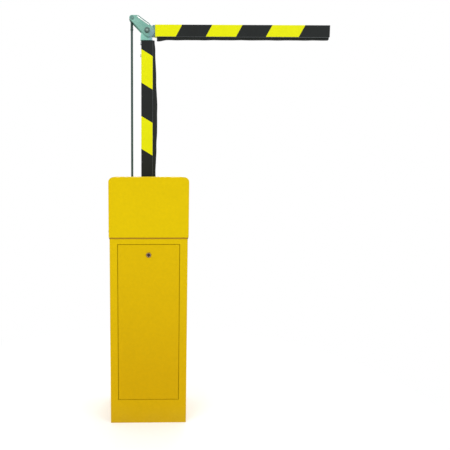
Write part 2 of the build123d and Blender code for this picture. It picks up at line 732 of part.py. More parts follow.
with BuildPart() as crank:
    hull_plate([(0, output_z, crank_hub_radius), (pin_x, output_z + pin_z, drive_eye_radius - 1)],
               (rocker_y, rocker_back))
    round_bar(0, output_z, crank_hub_radius, (rocker_y, rocker_hub_end))
    round_bar(0, output_z, output_radius, (rocker_y, rocker_hub_end), Mode.SUBTRACT)
    drive_pin(output_z + pin_z)

gearbox_front = rocker_hub_end + gearbox_gap
cover_back = gearbox_front + cover_thickness
with BuildPart() as output_shaft:
    round_bar(0, output_z, output_radius, (rocker_y, gearbox_front + output_seat))

with BuildPart() as gearbox_housing:
    block((-gearbox_left, gearbox_right), (cover_back, mechanism_y),
          (output_z - gearbox_half, output_z + gearbox_half))
    fillet(gearbox_housing.edges().filter_by(Axis.Y), radius=gearbox_corner)
    round_bar(0, output_z, cover_radius, (gearbox_front, cover_back))
    for angle in range(45, 405, 90):
        screw_x = cover_screw_circle * cos(radians(angle))
        screw_z = output_z + cover_screw_circle * sin(radians(angle))
        hexagon(screw_x, screw_z, m6_flats, (gearbox_front - m6_nut, gearbox_front))
    round_bar(0, output_z, output_radius + pin_fit, (gearbox_front - m6_nut, gearbox_front + output_seat),
              Mode.SUBTRACT)

motor_place = (-motor_left, mechanism_y - motor_to_plate)
motor_top = output_z - gearbox_half
motor_bottom = motor_top - motor_length
with BuildPart() as motor_body:
    with BuildSketch(Plane.XY.offset(motor_top)):
        with Locations(motor_place):
            Circle(motor_radius)
    extrude(amount=-motor_flange)
    with BuildSketch(Plane.XY.offset(motor_top - motor_flange)):
        with Locations(motor_place):
            Circle(motor_radius - fin_height)
            with PolarLocations(motor_radius - fin_step - fin_height / 2, fin_count):
                Rectangle(fin_height, fin_width)
    extrude(amount=motor_flange - motor_length)

with BuildPart() as motor_fan_cover:
    with BuildSketch(Plane.XY.offset(motor_bottom)):
        with Locations(motor_place):
            Circle(motor_radius)
    extrude(amount=-fan_cover_length)
    fillet(motor_fan_cover.faces().sort_by(Axis.Z)[0].edges(), radius=fan_cover_corner)
    with BuildSketch(Plane.XY.offset(motor_bottom - fan_cover_length)):
        with Locations(motor_place):
            for row_radius in vent_rows:
                with PolarLocations(row_radius, vent_count):
                    Circle(vent_radius)
    extrude(amount=vent_depth, mode=Mode.SUBTRACT)

with BuildPart() as motor_terminal_box:
    box_start = motor_place[0] + motor_radius
    box_top = motor_top - terminal_box_drop
    block((box_start, box_start + terminal_box_size[0]),
          (motor_place[1] - terminal_box_size[1] / 2, motor_place[1] + terminal_box_size[1] / 2),
          (box_top - terminal_box_size[2], box_top))
    fillet(motor_terminal_box.edges().filter_by(Axis.X), radius=small_corner)

# =============================================================== control box
control_front = lip_back + control_to_lip
control_back = control_front + control_depth
control_middle = (control_front + control_back) / 2
with BuildPart() as mounting_rails:
    for z in (control_low + rail_inset, control_high - rail_inset):
        block((-inside_side, inside_side), (control_back, control_back + rail_depth),
              (z - rail_height / 2, z + rail_height / 2))
        block((-inside_side, inside_side), (control_back + sheet, control_back + rail_depth),
              (z - rail_height / 2 + sheet, z + rail_height / 2 - sheet), Mode.SUBTRACT)

with BuildPart() as control_box:
    block((-control_half, control_half), (control_front, control_back), (control_low, control_high))
    fillet(control_box.edges().filter_by(Axis.Y), radius=small_corner)
    block((-control_half + control_wall, control_half - control_wall),
          (control_front, control_back - control_wall),
          (control_low + control_wall, control_high - control_wall), Mode.SUBTRACT)
    for x in gland_places:
        with Locations((x, control_middle, control_low + control_wall / 2)):
            Cylinder(gland_thread_radius, control_wall, mode=Mode.SUBTRACT)

with BuildPart() as control_box_lid:
    lid_front = control_front - control_wall
    block((-control_half, control_half), (lid_front, control_front), (control_low, control_high))
    fillet(control_box_lid.edges().filter_by(Axis.Y), radius=small_corner)
    for x in (-control_half + lid_screw_inset, control_half - lid_screw_inset):
        for z in (control_low + lid_screw_inset, control_high - lid_screw_inset):
            round_bar(x, z, lid_screw_radius, (lid_front - lid_screw_head, lid_front))

board_back = control_back - control_wall - board_post
board_front = board_back - board_thickness
board_low = control_low + board_inset
board_high = control_high - board_inset
with BuildPart() as control_board:
    block((-board_half, board_half), (board_front, board_back), (board_low, board_high))
    for x in (-board_half + board_post_inset, board_half - board_post_inset):
        for z in (board_low + board_post_inset, board_high - board_post_inset):
            round_bar(x, z, board_post_radius, (board_back, board_back + board_post))
    block((-80, -20), (board_front - 34, board_front), (board_high - 70, board_high - 10))       # transformer
    block((0, 80), (board_front - 16, board_front), (board_low + 4, board_low + 18))             # terminals
    for x in relay_places:
        block((x, x + 16), (board_front - 18, board_front), (board_high - 40, board_high - 18))

with BuildPart() as cable_glands:
    for x in gland_places:
        with BuildSketch(Plane.XY.offset(control_low)):
            with Locations((x, control_middle)):
                RegularPolygon(gland_flats, 6, major_radius=False)
        extrude(amount=-gland_collar)
        with BuildSketch(Plane.XY.offset(control_low - gland_collar)):
            with Locations((x, control_middle)):
                Circle(gland_nose_radius)
        extrude(amount=-gland_nose)
        with BuildSketch(Plane.XY.offset(control_low)):
            with Locations((x, control_middle)):
                Circle(gland_thread_radius)
        extrude(amount=2 * control_wall)
        with BuildSketch(Plane.XY.offset(control_low - gland_collar - gland_nose)):
            with Locations((x, control_middle)):
                Circle(gland_bore)
        extrude(amount=gland_collar + gland_nose + 2 * control_wall, mode=Mode.SUBTRACT)

# =============================================================== arm hub and rod anchor behind the hood
with BuildPart() as rod_anchor_plate:
    hull_plate([(0, shaft_z, nose_radius), (link_x, anchor_z, anchor_round)], (nose_end, anchor_plate_end))
    round_bar(0, shaft_z, shaft_radius + hub_gap, (nose_end, anchor_plate_end), Mode.SUBTRACT)
    round_bar(link_x, anchor_z, rod_radius, (nose_end, anchor_plate_end), Mode.SUBTRACT)
    for x, z in nose_screws:
        countersunk(x, z, m6_radius, anchor_plate_end, anchor_plate_thickness, Mode.SUBTRACT)

with BuildPart() as anchor_bolt:
    nut_start = rod_rear + hub_gap
    round_bar(link_x, anchor_z, ear_pin_radius, (nose_end, rod_rear + running_gap))
    round_bar(link_x, anchor_z, anchor_shoulder, (anchor_plate_end, rod_front - running_gap))
    round_bar(link_x, anchor_z, anchor_shoulder, (rod_rear + running_gap, nut_start))
    hexagon(link_x, anchor_z, m8_flats, (nut_start, nut_start + m8_head))

saddle_low = shaft_z - tube_below_shaft + saddle_margin
saddle_high = shaft_z + hub_above - saddle_margin
saddle_side = half_tube + saddle_sheet
hub_half = saddle_side + saddle_wing
saddle_bolt_x = saddle_side + saddle_wing / 2
saddle_places = [(x, z) for x in (-saddle_bolt_x, saddle_bolt_x)
                 for z in (saddle_low + saddle_bolt_rise, saddle_high - saddle_bolt_rise)]

with BuildPart() as arm_hub:
    block((-hub_half, hub_half), (hub_front, tube_front), (shaft_z - tube_below_shaft, shaft_z + hub_above))
    fillet(arm_hub.edges().filter_by(Axis.Y), radius=hub_corner)
    round_bar(0, shaft_z, shaft_radius, (hub_front, tube_front), Mode.SUBTRACT)
    bores(saddle_places, m8_radius, (hub_front, tube_front))

with BuildPart() as arm_saddle:
    wing_y = (tube_front, tube_front + saddle_sheet)
    block((-saddle_side, saddle_side), (tube_front, tube_rear + saddle_sheet), (saddle_low, saddle_high))
    fillet(arm_saddle.faces().sort_by(Axis.Y)[-1].edges().filter_by(Axis.Z), radius=saddle_sheet)
    block((-hub_half, hub_half), wing_y, (saddle_low, saddle_high))
    block((-half_tube, half_tube), (tube_front, tube_rear), (saddle_low, saddle_high), Mode.SUBTRACT)
    bores(saddle_places, m8_radius, wing_y)

# =============================================================== first boom section
inner_low = shaft_z - tube_below_shaft
inner_high = elbow_z - half_tube - rail_thickness - rubber_height - tube_end_gap
rail_low = shaft_z + rail_above_shaft
tongue_low = inner_high - tongue_length
tube_y = (tube_front, tube_rear)
hollow_y = (tube_front + tube_wall, tube_rear - tube_wall)
rail_y = (tube_front + rail_step, tube_rear - rail_step)
rubber_y = (tube_front + rubber_step, tube_rear - rubber_step)
rubber_hollow_y = (rubber_y[0] + rubber_side_wall, rubber_y[1] - rubber_side_wall)
rail_side = half_tube + rail_thickness
inner_screws = [inner_high - inner_screw_edge - row * screw_spacing for row in (0, 1)]
outer_screws = [outer_tube_start + outer_screw_edge + row * screw_spacing for row in (0, 1)]

with BuildPart() as inner_boom_tube:
    block((-half_tube, half_tube), tube_y, (inner_low, inner_high))
    fillet(inner_boom_tube.edges().filter_by(Axis.Z), radius=tube_corner)
    block((-half_tube + tube_wall, half_tube - tube_wall), hollow_y, (inner_low, inner_high), Mode.SUBTRACT)
    for z in inner_screws:
        side_bar((-half_tube, -half_tube + tube_wall), tube_middle, z, m5_radius, Mode.SUBTRACT)

with BuildPart() as inner_boom_plug:
    block((-half_tube + tube_wall, half_tube - tube_wall), hollow_y, (inner_low, inner_low + plug_length))
    block((-half_tube, half_tube), tube_y, (inner_low - tip_flange, inner_low))
    fillet(inner_boom_plug.edges().filter_by(Axis.Z).group_by(lambda e: round(e.center().Z))[0],
           radius=tube_corner)

with BuildPart() as inner_rail:
    block((half_tube, rail_side), rail_y, (rail_low, inner_high))

with BuildPart() as inner_rubber_edge:
    block((rail_side, rail_side + rubber_height), rubber_y, (rail_low, inner_high))
    rounding = (rubber_y[1] - rubber_y[0]) / 4
    fillet(inner_rubber_edge.faces().sort_by(Axis.X)[-1].edges().filter_by(Axis.Z), radius=rounding)
    block((rail_side + rubber_wall, rail_side + rubber_height - rubber_wall), rubber_hollow_y,
          (rail_low, inner_high), Mode.SUBTRACT)

with BuildPart() as inner_hinge_bracket:
    eye_foot = tongue_half - 1
    for cheek_y in cheeks_y:
        hull_plate([(0, elbow_z, tongue_half - inner_eye_step), (-eye_foot, inner_high, 1),
                    (eye_foot, inner_high, 1)], cheek_y)
        block((-tongue_half, tongue_half), cheek_y, (tongue_low, inner_high))
    block((-tongue_half, -tongue_half + hinge_plate), (tongue_front, tongue_rear),
          (tongue_low, inner_high + bracket_rise))
    round_bar(0, elbow_z, bush_radius, (tongue_front, tongue_rear), Mode.SUBTRACT)
    for z in inner_screws:
        side_bar((-tongue_half, -tongue_half + hinge_plate), tube_middle, z, m5_radius, Mode.SUBTRACT)

with BuildPart() as inner_boom_fasteners:
    for x, z in saddle_places:
        hexagon(x, z, m8_flats, (wing_y[1], wing_y[1] + m8_head))
        round_bar(x, z, m8_radius, (hub_front, wing_y[1]))
    for z in inner_screws:
        side_bar((-half_tube - flat_head, -half_tube), tube_middle, z, m5_head_radius)
        side_bar((-half_tube, -half_tube + 3 * flat_head), tube_middle, z, m5_radius)

with BuildPart() as elbow_bush:
    ring(0, elbow_z, bush_radius, m12_radius + pin_fit, (tongue_front, tongue_rear))

# =============================================================== second boom section
outer_tube_end = section_length - tip_flange
outer_z = (elbow_z - half_tube, elbow_z + half_tube)

with BuildPart() as outer_boom_tube:
    block((outer_tube_start, outer_tube_end), tube_y, outer_z)
    fillet(outer_boom_tube.edges().filter_by(Axis.X), radius=tube_corner)
    block((outer_tube_start, outer_tube_end), hollow_y, (outer_z[0] + tube_wall, outer_z[1] - tube_wall),
          Mode.SUBTRACT)
    for x in outer_screws:
        round_bar(x, elbow_z, m5_radius, (tube_rear - tube_wall, tube_rear), Mode.SUBTRACT)

with BuildPart() as boom_tip_cap:
    block((outer_tube_end - plug_length, outer_tube_end), hollow_y,
          (outer_z[0] + tube_wall, outer_z[1] - tube_wall))
    block((outer_tube_end, section_length), tube_y, outer_z)
    fillet(boom_tip_cap.faces().sort_by(Axis.X)[-1].edges(), radius=tube_corner)

with BuildPart() as outer_rail:
    block((outer_rubber_start, outer_tube_end), rail_y, (outer_z[0] - rail_thickness, outer_z[0]))

with BuildPart() as outer_rubber_edge:
    rubber_top = outer_z[0] - rail_thickness
    block((outer_rubber_start, outer_tube_end), rubber_y, (rubber_top - rubber_height, rubber_top))
    fillet(outer_rubber_edge.faces().sort_by(Axis.Z)[0].edges().filter_by(Axis.X), radius=rounding)
    block((outer_rubber_start, outer_tube_end), rubber_hollow_y,
          (rubber_top - rubber_height + rubber_wall, rubber_top - rubber_wall), Mode.SUBTRACT)

# The ear plates stand outside the tubes, so that they pass the first section when the boom is shut.
boss_radius = half_tube - 1
web_low = Vector(boss_x, boss_radius)
web_high = Vector(link_x + web_from_ear, link_z + ear_round - ear_corner)
web_along = (web_low - web_high).normalized()
web_out = Vector(-web_along.Y, web_along.X)
inside_ears = (ears_y[0][1], ears_y[1][0])
neck_start = tongue_half - inner_eye_step + neck_gap
tongue_x = (outer_tube_start, outer_tube_start + tongue_length + 20)
with BuildPart() as outer_hinge_bracket:
    for plate_y in ears_y:
        hull_plate([(link_x, ear_z, ear_round), (web_high.X, elbow_z + web_high.Y, ear_corner),
                    (web_low.X, elbow_z + web_low.Y, ear_corner), (boss_x, elbow_z + boss_z, boss_radius)],
                   plate_y)
    with BuildSketch(facing_front(inside_ears[1])) as web:
        corners = [web_high + web_out * ear_corner, web_low + web_out * ear_corner,
                   web_low + web_out * (ear_corner - ear_plate), web_high + web_out * (ear_corner - ear_plate)]
        Polygon(*[(corner.X, corner.Y + elbow_z) for corner in corners], align=None)
    extrude(web.sketch, amount=inside_ears[1] - inside_ears[0])
    block((neck_start, outer_tube_start), inside_ears, (elbow_z - tongue_half, elbow_z + tongue_half))
    for cheek_y in cheeks_y:
        block(tongue_x, cheek_y, (elbow_z - tongue_half, elbow_z + tongue_half))
    block(tongue_x, (tongue_front, tongue_rear), (elbow_z + tongue_half - hinge_plate, elbow_z + tongue_half))
    for plate_y in ears_y:
        round_bar(0, elbow_z, m12_radius, plate_y, Mode.SUBTRACT)
        round_bar(link_x, ear_z, ear_pin_radius, plate_y, Mode.SUBTRACT)
    for x in outer_screws:
        round_bar(x, elbow_z, m5_radius, cheeks_y[1], Mode.SUBTRACT)

with BuildPart() as outer_boom_fasteners:
    head_y = ears_y[0][0]
    nut_y = ears_y[1][1]
    hexagon(0, elbow_z, m12_flats, (head_y - m12_head, head_y))
    round_bar(0, elbow_z, m12_radius, (head_y, nut_y + m12_nut + thread_end))
    hexagon(0, elbow_z, m12_flats, (nut_y, nut_y + m12_nut), m12_radius + pin_fit)
    for x in outer_screws:
        round_bar(x, elbow_z, m5_head_radius, (tube_rear, tube_rear + flat_head))
        round_bar(x, elbow_z, m5_radius, (tube_rear - 3 * flat_head, tube_rear))

with BuildPart() as elbow_spacers:
    for spacer_y in ((inside_ears[0] + spacer_gap, tongue_front - spacer_gap),
                     (tongue_rear + spacer_gap, inside_ears[1] - spacer_gap)):
        ring(0, elbow_z, spacer_radius, m12_radius + pin_fit, spacer_y)
    for spacer_y in ((inside_ears[0], rod_front - running_gap), (rod_rear + running_gap, inside_ears[1])):
        ring(link_x, ear_z, ear_pin_radius + rod_ring_wall, ear_pin_radius, spacer_y)

with BuildPart() as ear_pin:
    pin_head = ear_pin_radius + ear_pin_head
    round_bar(link_x, ear_z, ear_pin_radius, (ears_y[0][0] - 1, ears_y[1][1] + 5))
    round_bar(link_x, ear_z, pin_head, (ears_y[0][0] - flat_head, ears_y[0][0]))
    round_bar(link_x, ear_z, pin_head, (ears_y[1][1], ears_y[1][1] + flat_head))

# =============================================================== parallel rod
eye_to_rod = rod_eye_radius + rod_in_socket
eye_to_end = rod_eye_radius + rod_socket_length
rod_z = (anchor_z + eye_to_rod, ear_z - eye_to_rod)
with BuildPart() as parallel_rod:
    with Locations((link_x, tube_middle, sum(rod_z) / 2)):
        Cylinder(rod_radius, rod_z[1] - rod_z[0])

with BuildPart() as rod_ends:
    rod_eye_y = (rod_front, rod_rear)
    for z, away, bore in ((anchor_z, 1, ear_pin_radius + pin_fit), (ear_z, -1, ear_pin_radius + running_gap)):
        round_bar(link_x, z, rod_eye_radius, rod_eye_y)
        with Locations((link_x, tube_middle, z + away * eye_to_end / 2)):
            Cylinder(rod_socket_radius, eye_to_end)
        with Locations((link_x, tube_middle, z + away * (eye_to_rod + rod_socket_length / 2))):
            Cylinder(rod_radius, rod_socket_length, mode=Mode.SUBTRACT)
        round_bar(link_x, z, bore, rod_eye_y, Mode.SUBTRACT)

with BuildPart() as rod_lock_nuts:
    for face in (anchor_z + eye_to_end, ear_z - eye_to_end - rod_nut_thickness):
        with BuildSketch(Plane.XY.offset(face)):
            with Locations((link_x, tube_middle)):
                RegularPolygon(rod_nut_flats, 6, major_radius=False)
                Circle(rod_radius, mode=Mode.SUBTRACT)
        extrude(amount=rod_nut_thickness)
pieces = {
    "base_plate": base_plate, "cabinet_body": cabinet_body, "hood": hood, "cabinet_fasteners": cabinet_fasteners,
    "door_rebate": door_rebate, "door_seal": door_seal, "door_panel": door_panel,
    "lock_housing": lock_housing, "lock_nut": lock_nut, "lock_plug": lock_plug, "lock_cam": lock_cam,
    "mechanism_plate": mechanism_plate, "front_bearing_plate": front_bearing_plate, "tie_bars": tie_bars,
    "bearing_housings": bearing_housings, "shaft_bearings": shaft_bearings, "main_shaft": main_shaft,
    "shaft_key_and_collars": shaft_key_and_collars, "rocker_lever": rocker_lever,
    "balance_spring": balance_spring, "spring_guide": spring_guide, "frame_studs": frame_studs,
    "limit_cams": limit_cams, "switch_bracket": switch_bracket, "limit_switches": limit_switches,
    "stop_buffers": stop_buffers, "drive_rod": drive_rod, "crank": crank, "output_shaft": output_shaft,
    "gearbox_housing": gearbox_housing, "motor_body": motor_body, "motor_fan_cover": motor_fan_cover,
    "motor_terminal_box": motor_terminal_box, "mounting_rails": mounting_rails, "control_box": control_box,
    "control_box_lid": control_box_lid, "control_board": control_board, "cable_glands": cable_glands,
    "rod_anchor_plate": rod_anchor_plate, "anchor_bolt": anchor_bolt, "arm_hub": arm_hub,
    "arm_saddle": arm_saddle, "inner_boom_tube": inner_boom_tube, "inner_boom_plug": inner_boom_plug,
    "inner_rail": inner_rail, "inner_rubber_edge": inner_rubber_edge,
    "inner_hinge_bracket": inner_hinge_bracket, "inner_boom_fasteners": inner_boom_fasteners,
    "elbow_bush": elbow_bush, "outer_boom_tube": outer_boom_tube, "boom_tip_cap": boom_tip_cap,
    "outer_rail": outer_rail, "outer_rubber_edge": outer_rubber_edge,
    "outer_hinge_bracket": outer_hinge_bracket, "outer_boom_fasteners": outer_boom_fasteners,
    "elbow_spacers": elbow_spacers, "ear_pin": ear_pin,
    "parallel_rod": parallel_rod, "rod_ends": rod_ends, "rod_lock_nuts": rod_lock_nuts,
}
print(len(pieces), "pieces")
for label, piece in pieces.items():
    piece.part.label = label
    export_step(piece.part, f"parts/{label}.step")
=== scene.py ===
import bpy
import bmesh
from math import cos, pi, radians, sin
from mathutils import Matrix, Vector


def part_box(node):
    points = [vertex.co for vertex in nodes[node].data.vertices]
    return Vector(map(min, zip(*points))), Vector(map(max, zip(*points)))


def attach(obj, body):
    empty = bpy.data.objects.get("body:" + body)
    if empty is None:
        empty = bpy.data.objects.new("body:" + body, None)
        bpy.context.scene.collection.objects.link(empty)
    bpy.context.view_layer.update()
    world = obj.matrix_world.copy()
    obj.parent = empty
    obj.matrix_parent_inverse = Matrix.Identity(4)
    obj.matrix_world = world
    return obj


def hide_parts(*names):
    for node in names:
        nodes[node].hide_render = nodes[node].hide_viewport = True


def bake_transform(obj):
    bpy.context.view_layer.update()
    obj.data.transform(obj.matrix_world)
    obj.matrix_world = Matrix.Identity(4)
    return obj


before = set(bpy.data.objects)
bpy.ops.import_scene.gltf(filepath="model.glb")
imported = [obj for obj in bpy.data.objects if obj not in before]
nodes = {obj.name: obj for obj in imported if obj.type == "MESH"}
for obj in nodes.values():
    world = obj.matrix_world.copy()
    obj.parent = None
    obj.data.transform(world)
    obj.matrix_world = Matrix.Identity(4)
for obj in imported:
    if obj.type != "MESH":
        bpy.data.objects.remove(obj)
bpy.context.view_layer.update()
print("frame loaded:", len(nodes), "pieces")

shaft = Vector((0, 0, 0.850))          # middle of the shaft that turns the boom
elbow = Vector((0, 0, 1.650))          # middle of the bolt between the two sections


def tint(written):
    # A colour written as six hexadecimal digits, in the linear numbers that a socket takes.
    parts = [int(written[i:i + 2], 16) / 255 for i in (0, 2, 4)]
    return tuple(p / 12.92 if p <= 0.04045 else ((p + 0.055) / 1.055) ** 2.4 for p in parts) + (1.0,)


def shade(colour, amount):
    return tuple(min(1.0, part * amount) for part in colour[:3]) + (1.0,)


def blended(first, second, share):
    # share is the second one's part.
    return first * (1 - share) + second * share


class Flow:
    # The end of a link. An expression written with it adds the Math nodes that work it out.
    def __init__(self, wiring, socket):
        self.wiring = wiring
        self.socket = socket

    def __add__(self, other):
        return self.wiring.maths("ADD", self, other)

    def __radd__(self, other):
        return self.wiring.maths("ADD", other, self)

    def __sub__(self, other):
        return self.wiring.maths("SUBTRACT", self, other)

    def __rsub__(self, other):
        return self.wiring.maths("SUBTRACT", other, self)

    def __mul__(self, other):
        return self.wiring.maths("MULTIPLY", self, other)

    def __rmul__(self, other):
        return self.wiring.maths("MULTIPLY", other, self)

    def __truediv__(self, other):
        return self.wiring.maths("DIVIDE", self, other)

    def __rtruediv__(self, other):
        return self.wiring.maths("DIVIDE", other, self)

    def __gt__(self, other):
        return self.wiring.maths("GREATER_THAN", self, other)

    def __lt__(self, other):
        return self.wiring.maths("LESS_THAN", self, other)


class Wiring:
    # Adds and links the nodes of one tree.
    def __init__(self, tree):
        self.tree = tree
        tree.nodes.clear()

    def node(self, kind, settings=None, sockets=None, result=0):
        # Settings go in first, because some of them change the sockets.
        made = self.tree.nodes.new(kind)
        for name, value in (settings or {}).items():
            if name == "stops":
                ramp = made.color_ramp
                while len(ramp.elements) < len(value):
                    ramp.elements.new(0.5)
                for element, (place, colour) in zip(ramp.elements, value):
                    element.position = place
                    element.color = colour
            else:
                setattr(made, name, value)
        for name, value in (sockets or {}).items():
            if isinstance(value, Flow):
                self.tree.links.new(value.socket, made.inputs[name])
            else:
                made.inputs[name].default_value = value
        if made.outputs:
            return Flow(self, made.outputs[result])

    def maths(self, operation, *values):
        return self.node("ShaderNodeMath", {"operation": operation}, dict(enumerate(values)))

    def clamp(self, value):
        return self.node("ShaderNodeClamp", None, {"Value": value})

    def seenBy(self, *rays):
        # 1 where a ray of one of these kinds meets the surface.
        outputs = self.node("ShaderNodeLightPath").socket.node.outputs
        found = Flow(self, outputs[rays[0]])
        for ray in rays[1:]:
            found = self.maths("MAXIMUM", found, Flow(self, outputs[ray]))
        return found

    def light(self, kind, strength):
        return self.node(kind, None, {"Color": (1, 1, 1, 1), "Strength": strength})


class Finish(Wiring):
    # One material. look holds its sizes, and edge among them is how far the shading of edges is softened.
    def __init__(self, name, look):
        self.look = look
        self.material = bpy.data.materials.new(name)
        self.material.use_nodes = True
        super().__init__(self.material.node_tree)
        self.position = self.node("ShaderNodeTexCoord", result="Object")
        self.softened = None
        if "edge" in look:
            self.softened = self.node("ShaderNodeBevel", {"samples": 4}, {"Radius": look["edge"]}, "Normal")

    def vectors(self, operation, *values, result=0):
        return self.node("ShaderNodeVectorMath", {"operation": operation}, dict(enumerate(values)), result)

    def mix(self, factor, first, second):
        return self.node("ShaderNodeMix", {"data_type": "RGBA"}, {0: factor, 6: first, 7: second}, 2)

    def axes(self):
        outputs = self.node("ShaderNodeSeparateXYZ", None, {0: self.position}).socket.node.outputs
        return [Flow(self, outputs[i]) for i in range(3)]

    def distance(self, across, up):
        return self.maths("SQRT", across * across + up * up)

    def scaled(self, size, stretch=(1, 1, 1)):
        return self.vectors("MULTIPLY", self.position, tuple(s / self.look[size] for s in stretch))

    def grain(self, size, stretch=(1, 1, 1), detail=3.0, roughness=0.5):
        # Noise whose lumps are about as wide as the size of this name.
        sockets = {"Vector": self.scaled(size, stretch), "Scale": 1.0, "Detail": detail,
                   "Roughness": roughness}
        return self.node("ShaderNodeTexNoise", None, sockets)

    def cells(self, size, result="Distance"):
        return self.node("ShaderNodeTexVoronoi", None, {"Vector": self.scaled(size), "Scale": 1.0}, result)

    def ramp(self, value, tones, light=1.0):
        stops = [(place, shade(tint(tone), light)) for place, tone in tones]
        return self.node("ShaderNodeValToRGB", {"stops": stops}, {0: value})

    def tones(self, factor, colour, spread):
        return self.mix(factor, shade(colour, 1 - spread), shade(colour, 1 + spread))

    def edges(self):
        # 0 on a flat face, rising towards its edges.
        flat = self.node("ShaderNodeNewGeometry", result="Normal")
        alike = self.vectors("DOT_PRODUCT", self.softened, flat, result="Value")
        return self.clamp((1 - alike) * 4)

    def wearAndSheen(self, colour, tone=None):
        # The colour with its edges turned to a lighter tone, partly as wear and partly as a painted highlight
        # where edges catch the light.
        return self.mix(self.edges() * self.look["wearAndSheenShare"], colour, tone or tint(self.look["wearAndSheen"]))

    def surface(self, colour, rough, height, metal=None):
        # The finished material. rough is added to the look's own roughness.
        look = self.look
        bump = {"Height": height, "Distance": look["depth"], "Strength": look["strength"]}
        if self.softened is not None:
            bump["Normal"] = self.softened
        sockets = {"Base Color": colour, "Roughness": look["roughness"] + rough,
                   "Metallic": look.get("metal", 0.0) if metal is None else metal,
                   "Specular IOR Level": look.get("gloss", 0.5),
                   "Normal": self.node("ShaderNodeBump", None, bump)}
        shader = self.node("ShaderNodeBsdfPrincipled", None, sockets)
        self.node("ShaderNodeOutputMaterial", None, {"Surface": shader})
        return self.material


# In each finish, sizes and depth are in metres, and a share is how much of a tone shows.
paint = dict(cloud=0.090, mottle=0.013, mottleShare=0.65, spread=0.10, shadeFromHeight=0.760, shadeToHeight=0.200,
             edgeLight=1.30, wearAndSheenShare=0.55, dust="9C8E6B", dustTop=0.12, dustShare=0.10, roughness=0.46,
             mottleRough=0.08, edgeGloss=0.06, dustRough=0.5, gloss=0.07, peel=0.0030, mottlePeel=0.3,
             depth=0.00003, strength=0.6, dustCloud=1.6, dustMottle=0.8, dustLess=0.5)


def powderCoat(name, top, foot, edgeRadius):
    # Orange peel and mottling. The colour darkens from top to foot down the cabinet as painted shade, and
    # dust settles near the floor.
    finish = Finish(name, dict(paint, edge=edgeRadius))
    top, foot = tint(top), tint(foot)
    z = finish.axes()[2]
    cloud = finish.grain("cloud")
    mottle = finish.grain("mottle")
    edge = finish.edges()
    # Painted shade: depth runs from the top colour to the darker foot colour down the cabinet.
    depth = finish.clamp((paint["shadeFromHeight"] - z) / (paint["shadeFromHeight"] - paint["shadeToHeight"]))
    patch = blended(cloud, mottle, paint["mottleShare"])
    spread = paint["spread"]
    coat = finish.mix(depth, finish.tones(patch, top, spread), finish.tones(patch, foot, spread))
    # Painted highlight: the edges turn lighter, as where they catch the light.
    coat = finish.mix(edge * paint["wearAndSheenShare"], coat, shade(top, paint["edgeLight"]))
    low = finish.clamp(1 - z / paint["dustTop"])
    dust = cloud * paint["dustCloud"] + mottle * paint["dustMottle"] - paint["dustLess"]
    dust = finish.clamp(low * low * dust) * paint["dustShare"]
    coat = finish.mix(dust, coat, tint(paint["dust"]))
    rough = mottle * paint["mottleRough"] - edge * paint["edgeGloss"] + dust * paint["dustRough"]
    peel = blended(finish.grain("peel", detail=1.0), mottle, paint["mottlePeel"])
    return finish.surface(coat, rough, peel)


zincDip = dict(spangle=0.011, feather=0.0016, cloud=0.06, featherShare=0.25,
               tones=((0.15, "9AA1A4"), (0.55, "AEB4B6"), (0.90, "C6CBCC")), dull="8C9395", dullShare=0.25,
               wearAndSheen="D3D6D6", wearAndSheenShare=0.5, edge=0.0008, metal=0.75, roughness=0.38, spangleRough=0.14,
               cloudRough=0.1, depth=0.00003, strength=0.5, featherHeight=0.5)


def galvanised(name):
    # Hot-dip zinc with its spangle.
    finish = Finish(name, zincDip)
    tile = finish.cells("spangle", "Color")
    feather = finish.grain("feather", (1, 1, 4))
    cloud = finish.grain("cloud")
    grey = finish.ramp(blended(tile, feather, zincDip["featherShare"]), zincDip["tones"])
    grey = finish.mix(cloud * zincDip["dullShare"], grey, tint(zincDip["dull"]))
    rough = tile * zincDip["spangleRough"] + cloud * zincDip["cloudRough"]
    return finish.surface(finish.wearAndSheen(grey), rough, blended(tile, feather, zincDip["featherHeight"]))


passivate = dict(drift=0.030, bloom=0.009, rolled=0.0012, bloomShare=0.3, rolledShare=0.18,
                 tones=((0.30, "6FA9A0"), (0.45, "7DB7A5"), (0.58, "88C0AD"), (0.72, "9FC0A8")),
                 streak="679A92", blueShade="7E9FAA", blueShare=0.75, blueDrift=0.2, blueLeft=0.002,
                 blueFade=0.014, blueTop=0.012, blueFall=0.016, shadowTone="3E5A58", wearAndSheen="C8DCD4",
                 wearAndSheenShare=0.45, edge=0.0010, metal=0.25, roughness=0.42, bloomRough=0.16, depth=0.00002,
                 strength=0.6, bloomHeight=0.4)


